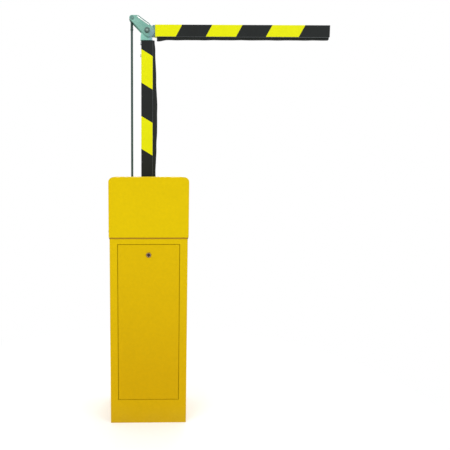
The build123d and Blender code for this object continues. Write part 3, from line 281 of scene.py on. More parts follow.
def greenZinc(name, light, shadowShare=0.0):
    # Green passivated zinc. light scales its colour as painted light and shade, the blue-grey beside the
    # elbow bolt is painted shade and reflection, and the last argument takes it towards a dark tone painted
    # as shade.
    finish = Finish(name, passivate)
    x, y, z = finish.axes()
    drift = finish.grain("drift")
    bloom = finish.grain("bloom", detail=4.0)
    rolled = finish.grain("rolled", (1, 1, 12), detail=2.0)
    green = finish.ramp(blended(drift, bloom, passivate["bloomShare"]), passivate["tones"], light)
    green = finish.mix(rolled * passivate["rolledShare"], green, tint(passivate["streak"]))
    # Painted shade and reflection: blue-grey right of the elbow bolt and below its middle, as on the curve of
    # the boss.
    right = finish.clamp((x - passivate["blueLeft"]) / passivate["blueFade"])
    below = finish.clamp((elbow.z + passivate["blueTop"] - z) / passivate["blueFall"])
    blueShade = finish.clamp(right * below * passivate["blueShare"] + drift * passivate["blueDrift"])
    green = finish.wearAndSheen(finish.mix(blueShade, green, shade(tint(passivate["blueShade"]), light)))
    # Painted shade: the dark tone stands in for shade.
    if shadowShare:
        green = finish.mix(shadowShare, green, tint(passivate["shadowTone"]))
    height = blended(rolled, bloom, passivate["bloomHeight"])
    return finish.surface(green, bloom * passivate["bloomRough"], height)


plating = dict(light="C3C8CA", dark="90979A", streak=0.0010, cloud=0.012, streakShare=0.5, cloudShare=0.4,
               wearAndSheen="E2E5E6", wearAndSheenShare=0.5, edge=0.0005, metal=0.95, roughness=0.26, cloudRough=0.16,
               depth=0.00001, strength=0.5)
highlightPlating = dict(plating, light="F4F8F6", dark="DCE6E2", streak=0.0012, roughness=0.30)


def platedSteel(name, look):
    finish = Finish(name, look)
    streak = finish.grain("streak", (1, 1, 6))
    cloud = finish.grain("cloud")
    tone = streak * look["streakShare"] + cloud * look["cloudShare"]
    metal = finish.wearAndSheen(finish.mix(tone, tint(look["dark"]), tint(look["light"])))
    return finish.surface(metal, cloud * look["cloudRough"], streak)


boltTone = dict(face="8AA198", flank="4A635D", streak="6F807E", streakSize=0.0010, streakShare=0.3,
                faceSize=0.0046, fade=0.0016, rightEnd=0.02, wearAndSheenShare=0.25, edge=0.0005, metal=0.6,
                roughness=0.34, streakRough=0.12, depth=0.00001, strength=0.5)


def shadedFlankBolt(name):
    # A bolt whose middle is lighter than its flank. The flank is dark partly from its plating and partly as
    # painted shade round the head. Screws beyond rightEnd stay dark.
    finish = Finish(name, boltTone)
    x, y, z = finish.axes()
    away = finish.distance(x, z - elbow.z)
    streak = finish.grain("streakSize", (1, 1, 6))
    face = finish.clamp((boltTone["faceSize"] - away) / boltTone["fade"] + 0.5) * (x < boltTone["rightEnd"])
    face = finish.clamp(face + finish.edges() * boltTone["wearAndSheenShare"])
    # Partly painted shade: the flank is dark round the head.
    metal = finish.mix(face, tint(boltTone["flank"]), tint(boltTone["face"]))
    metal = finish.mix(streak * boltTone["streakShare"], metal, tint(boltTone["streak"]))
    return finish.surface(metal, streak * boltTone["streakRough"], streak)


turning = dict(groove=0.0007, grooveShare=0.25, cloud=0.010, light="CDD1D3", dark="A3A9AD", edge=0.0005,
               metal=1.0, roughness=0.24, cloudRough=0.14, depth=0.00001, strength=0.5, wallShare=0.5)


def turnedSteel(name, centreHeight):
    # Lathe marks: rings round the middle on a face, and bands along Y on a wall.
    finish = Finish(name, turning)
    x, y, z = finish.axes()
    perMetre = 2 * pi / turning["groove"]
    faceRing = finish.maths("SINE", finish.distance(x, z - centreHeight) * perMetre)
    cut = blended(faceRing, finish.maths("SINE", y * perMetre), turning["wallShare"])
    cloud = finish.grain("cloud")
    tone = finish.clamp(cut * turning["grooveShare"] + cloud)
    metal = finish.mix(tone, tint(turning["dark"]), tint(turning["light"]))
    return finish.surface(metal, cloud * turning["cloudRough"], cut)


rodCoat = dict(line=0.0018, stretch=(1, 1, 0.03), cloud=0.035, cloudShare=0.5, dark="233A37",
               light="38524A", edge=0.0005, metal=0.25, roughness=0.42, cloudRough=0.12, depth=0.00003,
               strength=0.6)
uprightRail = dict(line=0.0010, stretch=(1, 1, 0.02), cloud=0.020, cloudShare=0.3, dark="3A3D3E",
                   light="55595A", wearAndSheen="9A9D9C", wearAndSheenShare=0.5, edge=0.0004, metal=0.7, roughness=0.36,
                   lineRough=0.12, depth=0.00003, strength=0.6)
levelRail = dict(uprightRail, stretch=(0.02, 1, 1))
# Painted shade: the lock's chrome is a dim grey, standing in for dark reflections and shade.
lockChrome = dict(line=0.0006, stretch=(14, 1, 1), cloud=0.004, cloudShare=0.5, light="8C8784", darker=0.72,
                  edge=0.0005, metal=1.0, roughness=0.16, cloudRough=0.14, depth=0.00001, strength=0.5)
# Painted reflection: the rim is tinted yellow-brown, as the yellow paint round it would show in chrome.
rimReflection = dict(lockChrome, light="B4924A")
# Painted shade: the plug is dark brown, as the shade in the lock's recess.
plugShade = dict(lockChrome, light="54423E")


def drawnMetal(name, look):
    # Lines drawn along the stretch, over cloudier tones.
    finish = Finish(name, look)
    line = finish.grain("line", look["stretch"], detail=2.0)
    cloud = finish.grain("cloud")
    light = tint(look["light"])
    dark = tint(look["dark"]) if "dark" in look else shade(light, look["darker"])
    metal = finish.mix(blended(line, cloud, look["cloudShare"]), dark, light)
    if "wearAndSheen" in look:
        metal = finish.wearAndSheen(metal)
    rough = cloud * look["cloudRough"] if "cloudRough" in look else line * look["lineRough"]
    return finish.surface(metal, rough, line)


casting = dict(colour="5F6C72", sand=0.0016, sandRoughness=0.6, swell=0.012, swellHeight=0.3, spread=0.14,
               edgeLight=1.6, wearAndSheenShare=0.4, edge=0.0016, metal=0.1, roughness=0.50, sandRough=0.16,
               depth=0.00022, strength=0.8, swellShare=0.5)


def castPaint(name):
    # Paint over sand-cast metal.
    finish = Finish(name, casting)
    colour = tint(casting["colour"])
    sand = finish.grain("sand", detail=4.0, roughness=casting["sandRoughness"])
    swell = finish.grain("swell", detail=2.0)
    coat = finish.tones(blended(sand, swell, casting["swellShare"]), colour, casting["spread"])
    coat = finish.wearAndSheen(coat, shade(colour, casting["edgeLight"]))
    return finish.surface(coat, sand * casting["sandRough"], blended(sand, swell, casting["swellHeight"]))


springSteel = dict(drawn=0.0009, scale=0.006, dark="24262A", light="4B4D50", speck="77716A", metal=0.8,
                   roughness=0.34, scaleRough=0.22, depth=0.00006, strength=1.0, speckGain=3,
                   speckLess=1.9, scaleHeight=0.4)


def springWire(name):
    # Oiled spring steel with mill scale and a few worn specks.
    finish = Finish(name, springSteel)
    drawn = finish.grain("drawn")
    scale = finish.grain("scale", detail=4.0)
    dark = finish.mix(scale, tint(springSteel["dark"]), tint(springSteel["light"]))
    speck = finish.clamp(drawn * springSteel["speckGain"] - springSteel["speckLess"])
    dark = finish.mix(speck, dark, tint(springSteel["speck"]))
    height = blended(drawn, scale, springSteel["scaleHeight"])
    return finish.surface(dark, scale * springSteel["scaleRough"], height)


film = dict(cell=0.0036, lineWidth=0.13, lineShare=0.30, line="CDD010", yellow="E8EA00", spread=0.05,
            black="1A1C1C", blackCloud="262A29", cloud=0.050, speck=0.0022, lap=0.0005, lapTone="6E7040",
            lapShare=0.35, wearAndSheen="8A8D88", wearAndSheenShare=0.12, edge=0.0012, gloss=0.12, roughness=0.46,
            yellowGloss=0.14, cloudRough=0.10, yellowHeight=0.6, cellHeight=0.3, speckHeight=0.15,
            depth=0.0002, strength=0.5, speckShare=0.4)


def wrappedFilm(name, along, slope, bands):
    # Yellow bands wound at a slant on black film, with a fine diamond grid. along is the axis that the bands
    # follow, slope their lean across it, and bands their starts and ends on it.
    finish = Finish(name, film)
    x, y, z = finish.axes()
    run, side = (x, z - elbow.z) if along == "x" else (z, x)
    place = run - side * slope
    yellow = 0.0
    lap = 0.0
    for start, stop in bands:
        yellow = yellow + (place > start) * (place < stop)
        for end in (start, stop):
            lap = lap + (1 - finish.clamp(finish.maths("ABSOLUTE", place - end) / film["lap"]))
    lines = [finish.maths("PINGPONG", way / film["cell"], 0.5) < film["lineWidth"] / 2
             for way in (run + side + y, run - side - y)]
    grid = finish.maths("MAXIMUM", *lines)
    cloud = finish.grain("cloud")
    speck = finish.grain("speck")
    tone = blended(cloud, speck, film["speckShare"])
    black = finish.mix(tone, tint(film["black"]), tint(film["blackCloud"]))
    lit = finish.tones(cloud, tint(film["yellow"]), film["spread"])
    lit = finish.mix(grid * film["lineShare"], lit, tint(film["line"]))
    colour = finish.mix(yellow, black, lit)
    colour = finish.mix(finish.clamp(lap) * film["lapShare"], colour, tint(film["lapTone"]))
    height = yellow * film["yellowHeight"] + yellow * grid * film["cellHeight"] + speck * film["speckHeight"]
    rough = cloud * film["cloudRough"] - yellow * film["yellowGloss"]
    return finish.surface(finish.wearAndSheen(colour), rough, height)


rubberLook = dict(line=0.0012, pore=0.0008, dust=0.022, dustShare=0.5, dark="1E2120", dusty="343836",
                  edge=0.0006, roughness=0.62, dustRough=0.2, gloss=0.2, depth=0.00012, strength=0.7,
                  dustGain=2, dustLess=0.7, poreHeight=0.5)


def blackRubber(name, stretch=(1, 1, 1)):
    # Dusty rubber with lines along the stretch.
    finish = Finish(name, rubberLook)
    line = finish.grain("line", stretch, detail=2.0)
    dust = finish.grain("dust", detail=4.0)
    pore = finish.grain("pore", detail=2.0)
    settled = finish.clamp(dust * rubberLook["dustGain"] - rubberLook["dustLess"]) * rubberLook["dustShare"]
    black = finish.mix(settled, tint(rubberLook["dark"]), tint(rubberLook["dusty"]))
    height = blended(line, pore, rubberLook["poreHeight"])
    return finish.surface(black, dust * rubberLook["dustRough"], height)


plastic = dict(leather=0.0011, cloud=0.030, leatherShare=0.3, spread=0.09, edgeLight=1.5, wearAndSheenShare=0.3,
               edge=0.0008, roughness=0.45, leatherRough=0.12, gloss=0.4, depth=0.00005, strength=0.6)


def mouldedPlastic(name, written, **changes):
    # changes are made to this plastic's own look.
    look = dict(plastic, **changes)
    colour = tint(written)
    finish = Finish(name, look)
    leather = finish.cells("leather")
    base = finish.tones(blended(finish.grain("cloud"), leather, look["leatherShare"]), colour, look["spread"])
    base = finish.wearAndSheen(base, shade(colour, look["edgeLight"]))
    return finish.surface(base, leather * look["leatherRough"], leather)


board = dict(lane=0.0042, laneWidth=0.16, cross=0.0058, crossWidth=0.13, patch=0.016, pad=0.0065,
             padSize=0.20, green="1F6B45", track="2F9160", trackShare=0.6, solder="C9B26A", cloud=0.02,
             spread=0.1, padMetal=0.8, roughness=0.38, patchRough=0.1, depth=0.00004, strength=1.0,
             laneAbove=0.45, crossBelow=0.5)


def circuitBoard(name):
    # Tracks run one way in some patches and the other way in the rest, with pads between them.
    finish = Finish(name, board)
    x, y, z = finish.axes()
    lane = finish.maths("PINGPONG", x / board["lane"], 0.5) < board["laneWidth"]
    cross = finish.maths("PINGPONG", z / board["cross"], 0.5) < board["crossWidth"]
    patch = finish.cells("patch", "Color")
    track = finish.clamp(lane * (patch > board["laneAbove"]) + cross * (patch < board["crossBelow"]))
    pad = finish.cells("pad") < board["padSize"]
    green = finish.tones(finish.grain("cloud", detail=2.0), tint(board["green"]), board["spread"])
    green = finish.mix(track * board["trackShare"], green, tint(board["track"]))
    green = finish.mix(pad, green, tint(board["solder"]))
    return finish.surface(green, patch * board["patchRough"], track + pad, pad * board["padMetal"])


finishes = {}


def dress(material, *covered):
    # Keeps a finish by its name and puts it on the CAD pieces that wear it.
    finishes[material.name] = material
    for name in covered:
        for place in nodes[name].material_slots:
            place.material = material


# The hood, cabinet and door wear one yellow paint. Their different tones, and the darker foot of the cabinet
# and door, are painted light and shade.
dress(powderCoat("hoodPaint", "E2C300", "E2C300", 0.0025), "hood")
dress(powderCoat("cabinetPaint", "E0BE00", "D9AF00", 0.0020), "cabinet_body")
dress(powderCoat("doorPaint", "DEBA00", "D5AA00", 0.0022), "door_panel")
# Painted light: the rebate is brighter than the cabinet, so the door's gaps show less shade.
dress(powderCoat("litRebatePaint", "FFC400", "FFC400", 0.0010), "door_rebate")
dress(galvanised("hotDipZinc"), "base_plate", "mechanism_plate", "front_bearing_plate", "mounting_rails",
      "switch_bracket", "rod_anchor_plate", "arm_hub", "arm_saddle")
dress(platedSteel("platedFastener", plating), "cabinet_fasteners", "tie_bars", "frame_studs", "anchor_bolt",
      "inner_boom_fasteners", "lock_nut", "lock_cam")
dress(platedSteel("highlightZinc", highlightPlating))
# The ear and the cheeks wear one zinc: the ear's is painted darker and the cheeks' lighter, as painted light
# and shade. The dark copy below is painted shade.
dress(greenZinc("greenZinc", 0.84), "outer_hinge_bracket")
dress(greenZinc("cheekZinc", 1.14), "inner_hinge_bracket")
dress(greenZinc("darkZinc", 1.0, 0.6), "ear_pin")
dress(shadedFlankBolt("elbowBolt"), "outer_boom_fasteners")
dress(turnedSteel("shaftSteel", shaft.z), "shaft_bearings", "main_shaft", "shaft_key_and_collars",
      "limit_cams")
dress(turnedSteel("crankSteel", 0.620), "output_shaft")
dress(turnedSteel("elbowSteel", elbow.z), "elbow_spacers")
dress(drawnMetal("rodCoating", rodCoat), "parallel_rod", "rod_ends", "rod_lock_nuts", "drive_rod", "crank",
      "rocker_lever")
dress(drawnMetal("uprightRail", uprightRail), "inner_rail")
dress(drawnMetal("levelRail", levelRail), "outer_rail")
dress(drawnMetal("lockChrome", lockChrome), "lock_housing")
dress(drawnMetal("lockRimReflection", rimReflection))
dress(drawnMetal("plugShade", plugShade), "lock_plug")
dress(castPaint("castBlueGrey"), "bearing_housings", "gearbox_housing", "motor_body")
dress(springWire("springWire"), "balance_spring")
dress(wrappedFilm("sectionOneFilm", "z", -0.60, [(0.841, 0.984), (1.128, 1.271), (1.415, 1.557)]),
      "inner_boom_tube")
dress(wrappedFilm("sectionTwoFilm", "x", 0.55, [(-0.010, 0.139), (0.270, 0.402), (0.533, 0.677)]),
      "outer_boom_tube")
dress(blackRubber("bumpRubber"), "stop_buffers", "door_seal")
dress(blackRubber("uprightRubber", (1, 1, 0.03)), "inner_rubber_edge")
dress(blackRubber("levelRubber", (0.03, 1, 1)), "outer_rubber_edge")
dress(mouldedPlastic("blackPlastic", "2A2C2D"), "inner_boom_plug", "boom_tip_cap", "motor_fan_cover",
      "motor_terminal_box", "limit_switches", "cable_glands")
dress(mouldedPlastic("whiteNylon", "E4E1D6", roughness=0.38, leather=0.0030), "spring_guide", "elbow_bush")
dress(mouldedPlastic("greyPlastic", "B9BDBD", roughness=0.50), "control_box", "control_box_lid")
# Painted shadow: a dark yellow-brown for the strip under the hood's edge.
dress(mouldedPlastic("shadowStripPaint", "A87B08", roughness=0.70, leather=0.0016))
dress(circuitBoard("circuitBoard"), "control_board")
print("finishes made:", len(finishes))


def objectFrom(name, mesh, material, smooth):
    # An object made from a bmesh. Edges sharper than smooth degrees stay sharp.
    bmesh.ops.recalc_face_normals(mesh, faces=mesh.faces)
    data = bpy.data.meshes.new(name)
    mesh.to_mesh(data)
    mesh.free()
    data.materials.append(material)
    for face in data.polygons:
        face.use_smooth = True
    data.set_sharp_from_angle(angle=radians(smooth))
    made = bpy.data.objects.new(name, data)
    bpy.context.scene.collection.objects.link(made)
    return made


def pieceFrom(name, mesh, finishName, body, replaced=None, smooth=40):
    # A piece of the barrier. It rides on body when one is given, and may stand for a CAD piece.
    piece = objectFrom(name, mesh, finishes[finishName], smooth)
    if body:
        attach(piece, body)
    if replaced:
        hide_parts(replaced)
    return piece


def skin(mesh, rings, closed=False, capped=True):
    # Faces between each ring of corners and the next. A closed skin joins its last ring to its first, and
    # any other is capped at both ends.
    made = [[mesh.verts.new(corner) for corner in ring] for ring in rings]
    count = len(made[0])
    pairs = list(zip(made, made[1:]))
    if closed:
        pairs.append((made[-1], made[0]))
    for first, second in pairs:
        for i in range(count):
            j = (i + 1) % count
            mesh.faces.new((first[i], first[j], second[j], second[i]))
    if capped and not closed:
        mesh.faces.new(reversed(made[0]))
        mesh.faces.new(made[-1])


def curveThrough(points, place):
    # A smooth value at a place, from (place, value) pairs in order.
    if place <= points[0][0]:
        return points[0][1]
    for (a, low), (b, high) in zip(points, points[1:]):
        if place <= b:
            part = (place - a) / (b - a)
            return low + (high - low) * (1 - cos(pi * part)) / 2
    return points[-1][1]


def hull(points):
    # The outline round a set of points, counterclockwise.
    def turn(a, b, c):
        return (b[0] - a[0]) * (c[1] - a[1]) - (b[1] - a[1]) * (c[0] - a[0])

    points = sorted(set((round(x, 7), round(z, 7)) for x, z in points))
    outline = []
    for ordered in (points, points[::-1]):
        chain = []
        for point in ordered:
            while len(chain) > 1 and turn(chain[-2], chain[-1], point) <= 0:
                chain.pop()
            chain.append(point)
        outline += chain[:-1]
    return outline


def circle(x, z, radius, count=56):
    angles = [2 * pi * k / count for k in range(count)]
    return [(x + radius * cos(angle), z + radius * sin(angle)) for angle in angles]


def rectangle(left, right, low, high):
    return [(left, low), (right, low), (right, high), (left, high)]


def cutAway(outline, place, outward, keep):
    # The part of an outline that lies at least keep inside the line through place.
    def past(point):
        return (point[0] - place[0]) * outward[0] + (point[1] - place[1]) * outward[1] + keep

    kept = []
    for i, point in enumerate(outline):
        ahead = outline[(i + 1) % len(outline)]
        here, there = past(point), past(ahead)
        if here <= 0:
            kept.append(point)
        if here * there < 0:
            part = here / (here - there)
            kept.append((point[0] + (ahead[0] - point[0]) * part, point[1] + (ahead[1] - point[1]) * part))
    return kept


def drawnIn(outline, amount):
    # Every corner of a convex outline moved inwards.
    made = []
    for i, point in enumerate(outline):
        before, after = Vector(outline[i - 1]), Vector(outline[(i + 1) % len(outline)])
        along = (after - before).normalized()
        made.append((point[0] - along.y * amount, point[1] + along.x * amount))
    return made


def plate(mesh, outline, front, rear, softness):
    # A flat plate between two depths. softness is how far its edges are rounded.
    part = softness * 0.35
    levels = [(front, softness), (front + part, part), (front + softness, 0),
              (rear - softness, 0), (rear - part, part), (rear, softness)]
    skin(mesh, [[(x, y, z) for x, z in drawnIn(outline, amount)] for y, amount in levels])


def barAlong(mesh, start, stop, outward, section):
    # A straight bar with bevelled ends, whose section is given as (outward, y) corners.
    middle = Vector((sum(out for out, y in section), sum(y for out, y in section))) / len(section)
    inset = (stop - start) * 0.01
    rings = []
    for place, size in ((start, 0.8), (start + inset, 1.0), (stop - inset, 1.0), (stop, 0.8)):
        ring = []
        for corner in section:
            out, y = middle + (Vector(corner) - middle) * size
            ring.append((place.x + outward.x * out, y, place.y + outward.y * out))
        rings.append(ring)
    skin(mesh, rings)


def turnedAbout(mesh, middle, axis, profile, sides=32, flats=None, hollow=False):
    # Rings about an axis, from (distance along it, radius) pairs. flats is half the width of a hexagon that
    # the rings are cut to. A hollow profile runs round to its first ring again.
    axis = Vector(axis)
    side = Vector((0, 0, 1)) if abs(axis.z) < 0.9 else Vector((1, 0, 0))
    over = axis.cross(side)
    rings = []
    for along, radius in profile:
        ring = []
        for k in range(sides):
            angle = 2 * pi * k / sides
            size = radius
            if flats:
                turn = (angle + pi / 6) % (pi / 3) - pi / 6
                size = min(radius, flats / cos(turn))
            ring.append(Vector(middle) + axis * along + (side * cos(angle) + over * sin(angle)) * size)
        rings.append(ring)
    skin(mesh, rings, closed=hollow)


def hexHead(mesh, middle, axis, flats, height, ringed=True):
    # A hexagon head or nut on its seat at middle. A ringed one has a shallow ring on top.
    corner = flats / cos(pi / 6)
    profile = [(0.0, flats * 0.985), (height * 0.06, corner), (height * 0.80, corner), (height * 0.94, flats),
               (height, flats * 0.90)]
    if ringed:
        profile += [(height, flats * 0.72), (height * 0.93, flats * 0.66)]
    turnedAbout(mesh, middle, axis, profile, 48, flats)


def domedScrew(mesh, middle, axis, radius, height):
    # A button head with a round recess.
    dome = [(0.0, radius), (height * 0.25, radius)]
    dome += [(height * (0.25 + 0.75 * sin(angle)), radius * (0.42 + 0.58 * cos(angle)))
             for angle in (pi / 10, pi / 5, 3 * pi / 10, 2 * pi / 5, pi / 2)]
    dome += [(height * 0.35, radius * 0.40), (height * 0.30, radius * 0.10)]
    turnedAbout(mesh, middle, axis, dome, 36)


# The rubber edges. Each pair in upright and level is a place along the edge and the rubber's depth there.
rubber = dict(step=0.008, waveHeight=0.00035, waveLength=0.110, shortWave=0.063, endPinch=0.97, foot=0.0016,
              neckStart=0.0024, neckEnd=0.0042, neckWidth=0.80, bellyWidth=0.96, belly=0.55, domeWidth=0.94,
              domeStart=0.72,
              upright=[(0.995, 0.0115), (1.018, 0.0120), (1.138, 0.0160), (1.227, 0.0190), (1.314, 0.0195),
                       (1.465, 0.0140), (1.560, 0.0100), (1.609, 0.0070)],
              level=[(0.044, 0.0154), (0.050, 0.0154), (0.090, 0.0098), (0.453, 0.0090), (0.797, 0.0086)])


def rubberSection(half, depth):
    # Foot, neck, belly and dome, as (across, away) pairs.
    neck = half * rubber["neckWidth"]
    side = [(half, 0.0), (half, rubber["foot"]), (neck, rubber["neckStart"]), (neck, rubber["neckEnd"]),
            (half * rubber["bellyWidth"], depth * rubber["belly"])]
    width, start = half * rubber["domeWidth"], rubber["domeStart"]
    dome = [(width * cos(turn), depth * (start + (1 - start) * sin(turn)))
            for turn in (pi - pi * k / 6 for k in range(7))]
    return [(-across, away) for across, away in side] + dome + side[::-1]


def rubberEdge(name, node, finishName, body, depths, upright):
    # A rubber profile along the rail, which swells and hangs by its depths and waves a little.
    low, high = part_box(node)
    start, stop = (low.z, high.z) if upright else (low.x, high.x)
    root = low.x if upright else high.z
    middle = (low.y + high.y) / 2
    steps = round((stop - start) / rubber["step"])
    rings = []
    for i in range(steps + 1):
        run = start + (stop - start) * i / steps
        fromEnd = min(i, steps - i)
        swing = sin(2 * pi * run / rubber["waveLength"]) + 0.5 * sin(2 * pi * run / rubber["shortWave"] + 1)
        depth = curveThrough(depths, run) + rubber["waveHeight"] * swing * min(1, fromEnd / 3)
        narrow = rubber["endPinch"] if fromEnd == 0 else 1.0
        ring = []
        for across, away in rubberSection((high.y - low.y) / 2, depth):
            y = middle + across * narrow
            away *= narrow
            ring.append((root + away, y, run) if upright else (run, y, root - away))
        rings.append(ring)
    mesh = bmesh.new()
    skin(mesh, rings)
    pieceFrom(name, mesh, finishName, body, node, 55)


rubberEdge("upright_rubber_profile", "inner_rubber_edge", "uprightRubber", "main_arm",
           rubber["upright"], upright=True)
rubberEdge("level_rubber_profile", "outer_rubber_edge", "levelRubber", "outer_arm",
           rubber["level"], upright=False)
print("rubber edges made")


# The balance spring, made as one piece that rides on no body. On the barrier its front leg turns with the
# boom, and its rear leg stays with the cabinet.
coil = dict(wire=0.0035, radius=0.035, turns=8, front=0.038, rear=0.102, leg=0.072, startAngle=135.0,
            perTurn=40, sides=14, endTaper=0.86, legSteps=(0.25, 0.5, 0.75, 0.99, 1.0))


def springLine():
    start = radians(coil["startAngle"])
    reach = Vector((-sin(start), 0, cos(start))) * coil["leg"]          # along the wire at its start
    count = coil["turns"] * coil["perTurn"]
    turns = []
    for i in range(count + 1):
        angle = start + 2 * pi * coil["turns"] * i / count
        y = coil["front"] + (coil["rear"] - coil["front"]) * i / count
        turns.append(Vector((coil["radius"] * cos(angle), y, shaft.z + coil["radius"] * sin(angle))))
    frontLeg = [turns[0] - reach * part for part in reversed(coil["legSteps"])]
    rearLeg = [turns[-1] + reach * part for part in coil["legSteps"]]
    return frontLeg + turns + rearLeg


def balanceSpring():
    line = springLine()
    last = len(line) - 1
    rings = []
    for i, point in enumerate(line):
        ahead = (line[min(i + 1, last)] - line[max(i - 1, 0)]).normalized()
        outward = Vector((0, 1, 0)).cross(ahead).normalized()
        over = ahead.cross(outward)
        size = coil["wire"] * (coil["endTaper"] if i in (0, last) else 1.0)
        angles = [2 * pi * k / coil["sides"] for k in range(coil["sides"])]
        rings.append([point + (outward * cos(angle) + over * sin(angle)) * size for angle in angles])
    mesh = bmesh.new()
    skin(mesh, rings)
    spring = pieceFrom("wound_spring", mesh, "springWire", None, "balance_spring", 35)
    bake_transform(spring)


balanceSpring()
print("spring made")


# The bracket on the second section. pin, high, low and boss are circles (x, height from the elbow, radius)
# that its outline goes round. Its upper edge is folded into a lip, painted near-white as a highlight, and a
# rim painted dark as shade.
ear = dict(pin=(-0.066, 0.052, 0.011), high=(-0.041, 0.058, 0.005), low=(0.008, 0.024, 0.005),
           boss=(0.008, -0.004, 0.024), front=0.1629, rear=0.2031, sheet=0.0045, step=0.0016,
           stepSoftness=0.0007, backSoftness=0.0003, backInset=0.002, lip=0.0088, rim=0.0026, groove=0.0014,
           lipDepth=0.0022, rimDepth=0.0085, webInset=0.008, neck=(0.024, 0.035), neckHalf=0.0228,
           neckSoftness=0.0012)


def earBracket():
    corners = []
    for x, z, radius in (ear["pin"], ear["high"], ear["low"], ear["boss"]):
        corners += circle(x, elbow.z + z, radius)
    outline = hull(corners)
    start = Vector(ear["high"][:2]) + Vector((0, elbow.z))
    stop = Vector(ear["low"][:2]) + Vector((0, elbow.z))
    along = (stop - start).normalized()
    outward = Vector((-along.y, along.x))
    start += outward * ear["high"][2]
    stop += outward * ear["high"][2]
    stepped = cutAway(outline, start, outward, ear["lip"] + ear["groove"])
    backing = cutAway(outline, start, outward, ear["backInset"])
    sheet, step, lip, rim = ear["sheet"], ear["step"], ear["lip"], ear["rim"]
    bracket = bmesh.new()
    for side, face, way in (("front", ear["front"], 1), ("rear", ear["rear"], -1)):
        plate(bracket, stepped, *sorted((face, face + way * step)), ear["stepSoftness"])
        plate(bracket, backing, *sorted((face + way * step, face + way * sheet)), ear["backSoftness"])
        roll = (lip - rim) / 2
        bend = [(-rim - roll + roll * cos(pi * k / 8), face + way * ear["lipDepth"] * (1 - sin(pi * k / 8)))
                for k in range(9)]
        bend += [(-lip, face + way * sheet), (-rim, face + way * sheet)]
        mesh = bmesh.new()
        barAlong(mesh, start, stop, outward, bend)
        # Painted highlight: the lip is near-white.
        pieceFrom("ear_lip_" + side, mesh, "highlightZinc", "outer_arm", smooth=50)
        # Painted shade: the rim is dark.
        fold = [(-rim, 0.0004), (-0.0012, 0.0), (-0.0004, 0.0004), (0.0, 0.0012), (0.0, ear["rimDepth"]),
                (-rim, ear["rimDepth"])]
        mesh = bmesh.new()
        barAlong(mesh, start, stop, outward, [(out, face + way * depth) for out, depth in fold])
        pieceFrom("ear_rim_" + side, mesh, "darkZinc", "outer_arm", smooth=50)
    web = rectangle(-sheet, 0.0, ear["front"] + ear["webInset"], ear["rear"] - ear["webInset"])
    barAlong(bracket, start, stop, outward, web)
    pieceFrom("elbow_ear_bracket", bracket, "greenZinc", "outer_arm", "outer_hinge_bracket")


def neckBlock():
    # Fills the end of the second tube between the ears.
    outline = rectangle(*ear["neck"], elbow.z - ear["neckHalf"], elbow.z + ear["neckHalf"])
    mesh = bmesh.new()
    plate(mesh, outline, ear["front"] + ear["sheet"], ear["rear"] - ear["sheet"], ear["neckSoftness"])
    # The block is painted dark as the shade inside the tube's end.
    pieceFrom("elbow_neck_block", mesh, "darkZinc", "outer_arm")


earBracket()
neckBlock()

# The bracket on the first section: two cheeks with a tongue each inside the tube, and a web between them.
hinge = dict(eye=0.0220, left=-0.0280, right=0.0235, foot=1.6092, leftRise=0.018, rightRise=0.004,
             cheeks=((0.1702, 0.1742), (0.1918, 0.1958)), cheekSoftness=0.0007, web=0.0040, webTop=1.6260,
             webOverlap=0.0005, webSoftness=0.0006, tongue=1.5190, tongueHalf=0.0224, tongueSoftness=0.0005)


def cheekBracket():
    left, right, foot = hinge["left"], hinge["right"], hinge["foot"]
    shoulders = [(left, foot), (left, foot + hinge["leftRise"]), (right, foot),
                 (right, foot + hinge["rightRise"])]
    cheek = hull(circle(0, elbow.z, hinge["eye"]) + shoulders)
    tongue = rectangle(-hinge["tongueHalf"], hinge["tongueHalf"], hinge["tongue"], foot)
    mesh = bmesh.new()
    for span in hinge["cheeks"]:
        plate(mesh, cheek, *span, hinge["cheekSoftness"])
        plate(mesh, tongue, *span, hinge["tongueSoftness"])
    web = rectangle(left, left + hinge["web"], foot, hinge["webTop"])
    front, rear = hinge["cheeks"]
    plate(mesh, web, front[1] - hinge["webOverlap"], rear[0] + hinge["webOverlap"], hinge["webSoftness"])
    pieceFrom("elbow_cheek_bracket", mesh, "cheekZinc", "main_arm", "inner_hinge_bracket")


cheekBracket()
print("hinge brackets made")


# Screws of the boom. A head is its radius, or half its width across flats, and its height.
saddleScrews = dict(side=0.039, heights=(0.824, 0.961), seat=0.171, head=(0.0065, 0.0040),
                    washer=[(0, 0.0084), (0.0002, 0.0088), (0.0012, 0.0088), (0.0014, 0.0084)], lift=0.0013)
sideScrews = dict(heights=(1.597, 1.547), head=(0.0062, 0.0046))
rearScrews = dict(places=(0.060, 0.110), seat=0.198, head=(0.0052, 0.0030))
elbowBolt = dict(washer=[(0, 0.0121), (0.0003, 0.0125), (0.0008, 0.0125), (0.0010, 0.0121)], lift=0.0009,
                 head=(0.0095, 0.0072), nut=(0.0095, 0.0088), threads=8, pitch=0.00145,
                 crest=(0.0009, 0.0059), root=(0.0016, 0.0052), start=(0.0, 0.0058), end=(0.0128, 0.0048))
backwards = (0, 1, 0)
forwards = (0, -1, 0)


def bothSides(fixings):
    # The (x, height) of four fixings, two on the left and two on the right.
    return [(x, z) for x in (-fixings["side"], fixings["side"]) for z in fixings["heights"]]


def sectionOneScrews():
    mesh = bmesh.new()
    seat = saddleScrews["seat"]
    for x, z in bothSides(saddleScrews):
        turnedAbout(mesh, (x, seat, z), backwards, saddleScrews["washer"])
        hexHead(mesh, (x, seat + saddleScrews["lift"], z), backwards, *saddleScrews["head"])
    low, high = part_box("inner_boom_tube")
    for z in sideScrews["heights"]:
        domedScrew(mesh, (low.x, (low.y + high.y) / 2, z), (-1, 0, 0), *sideScrews["head"])
    pieceFrom("section_one_screws", mesh, "platedFastener", "main_arm",
              "inner_boom_fasteners", 30)


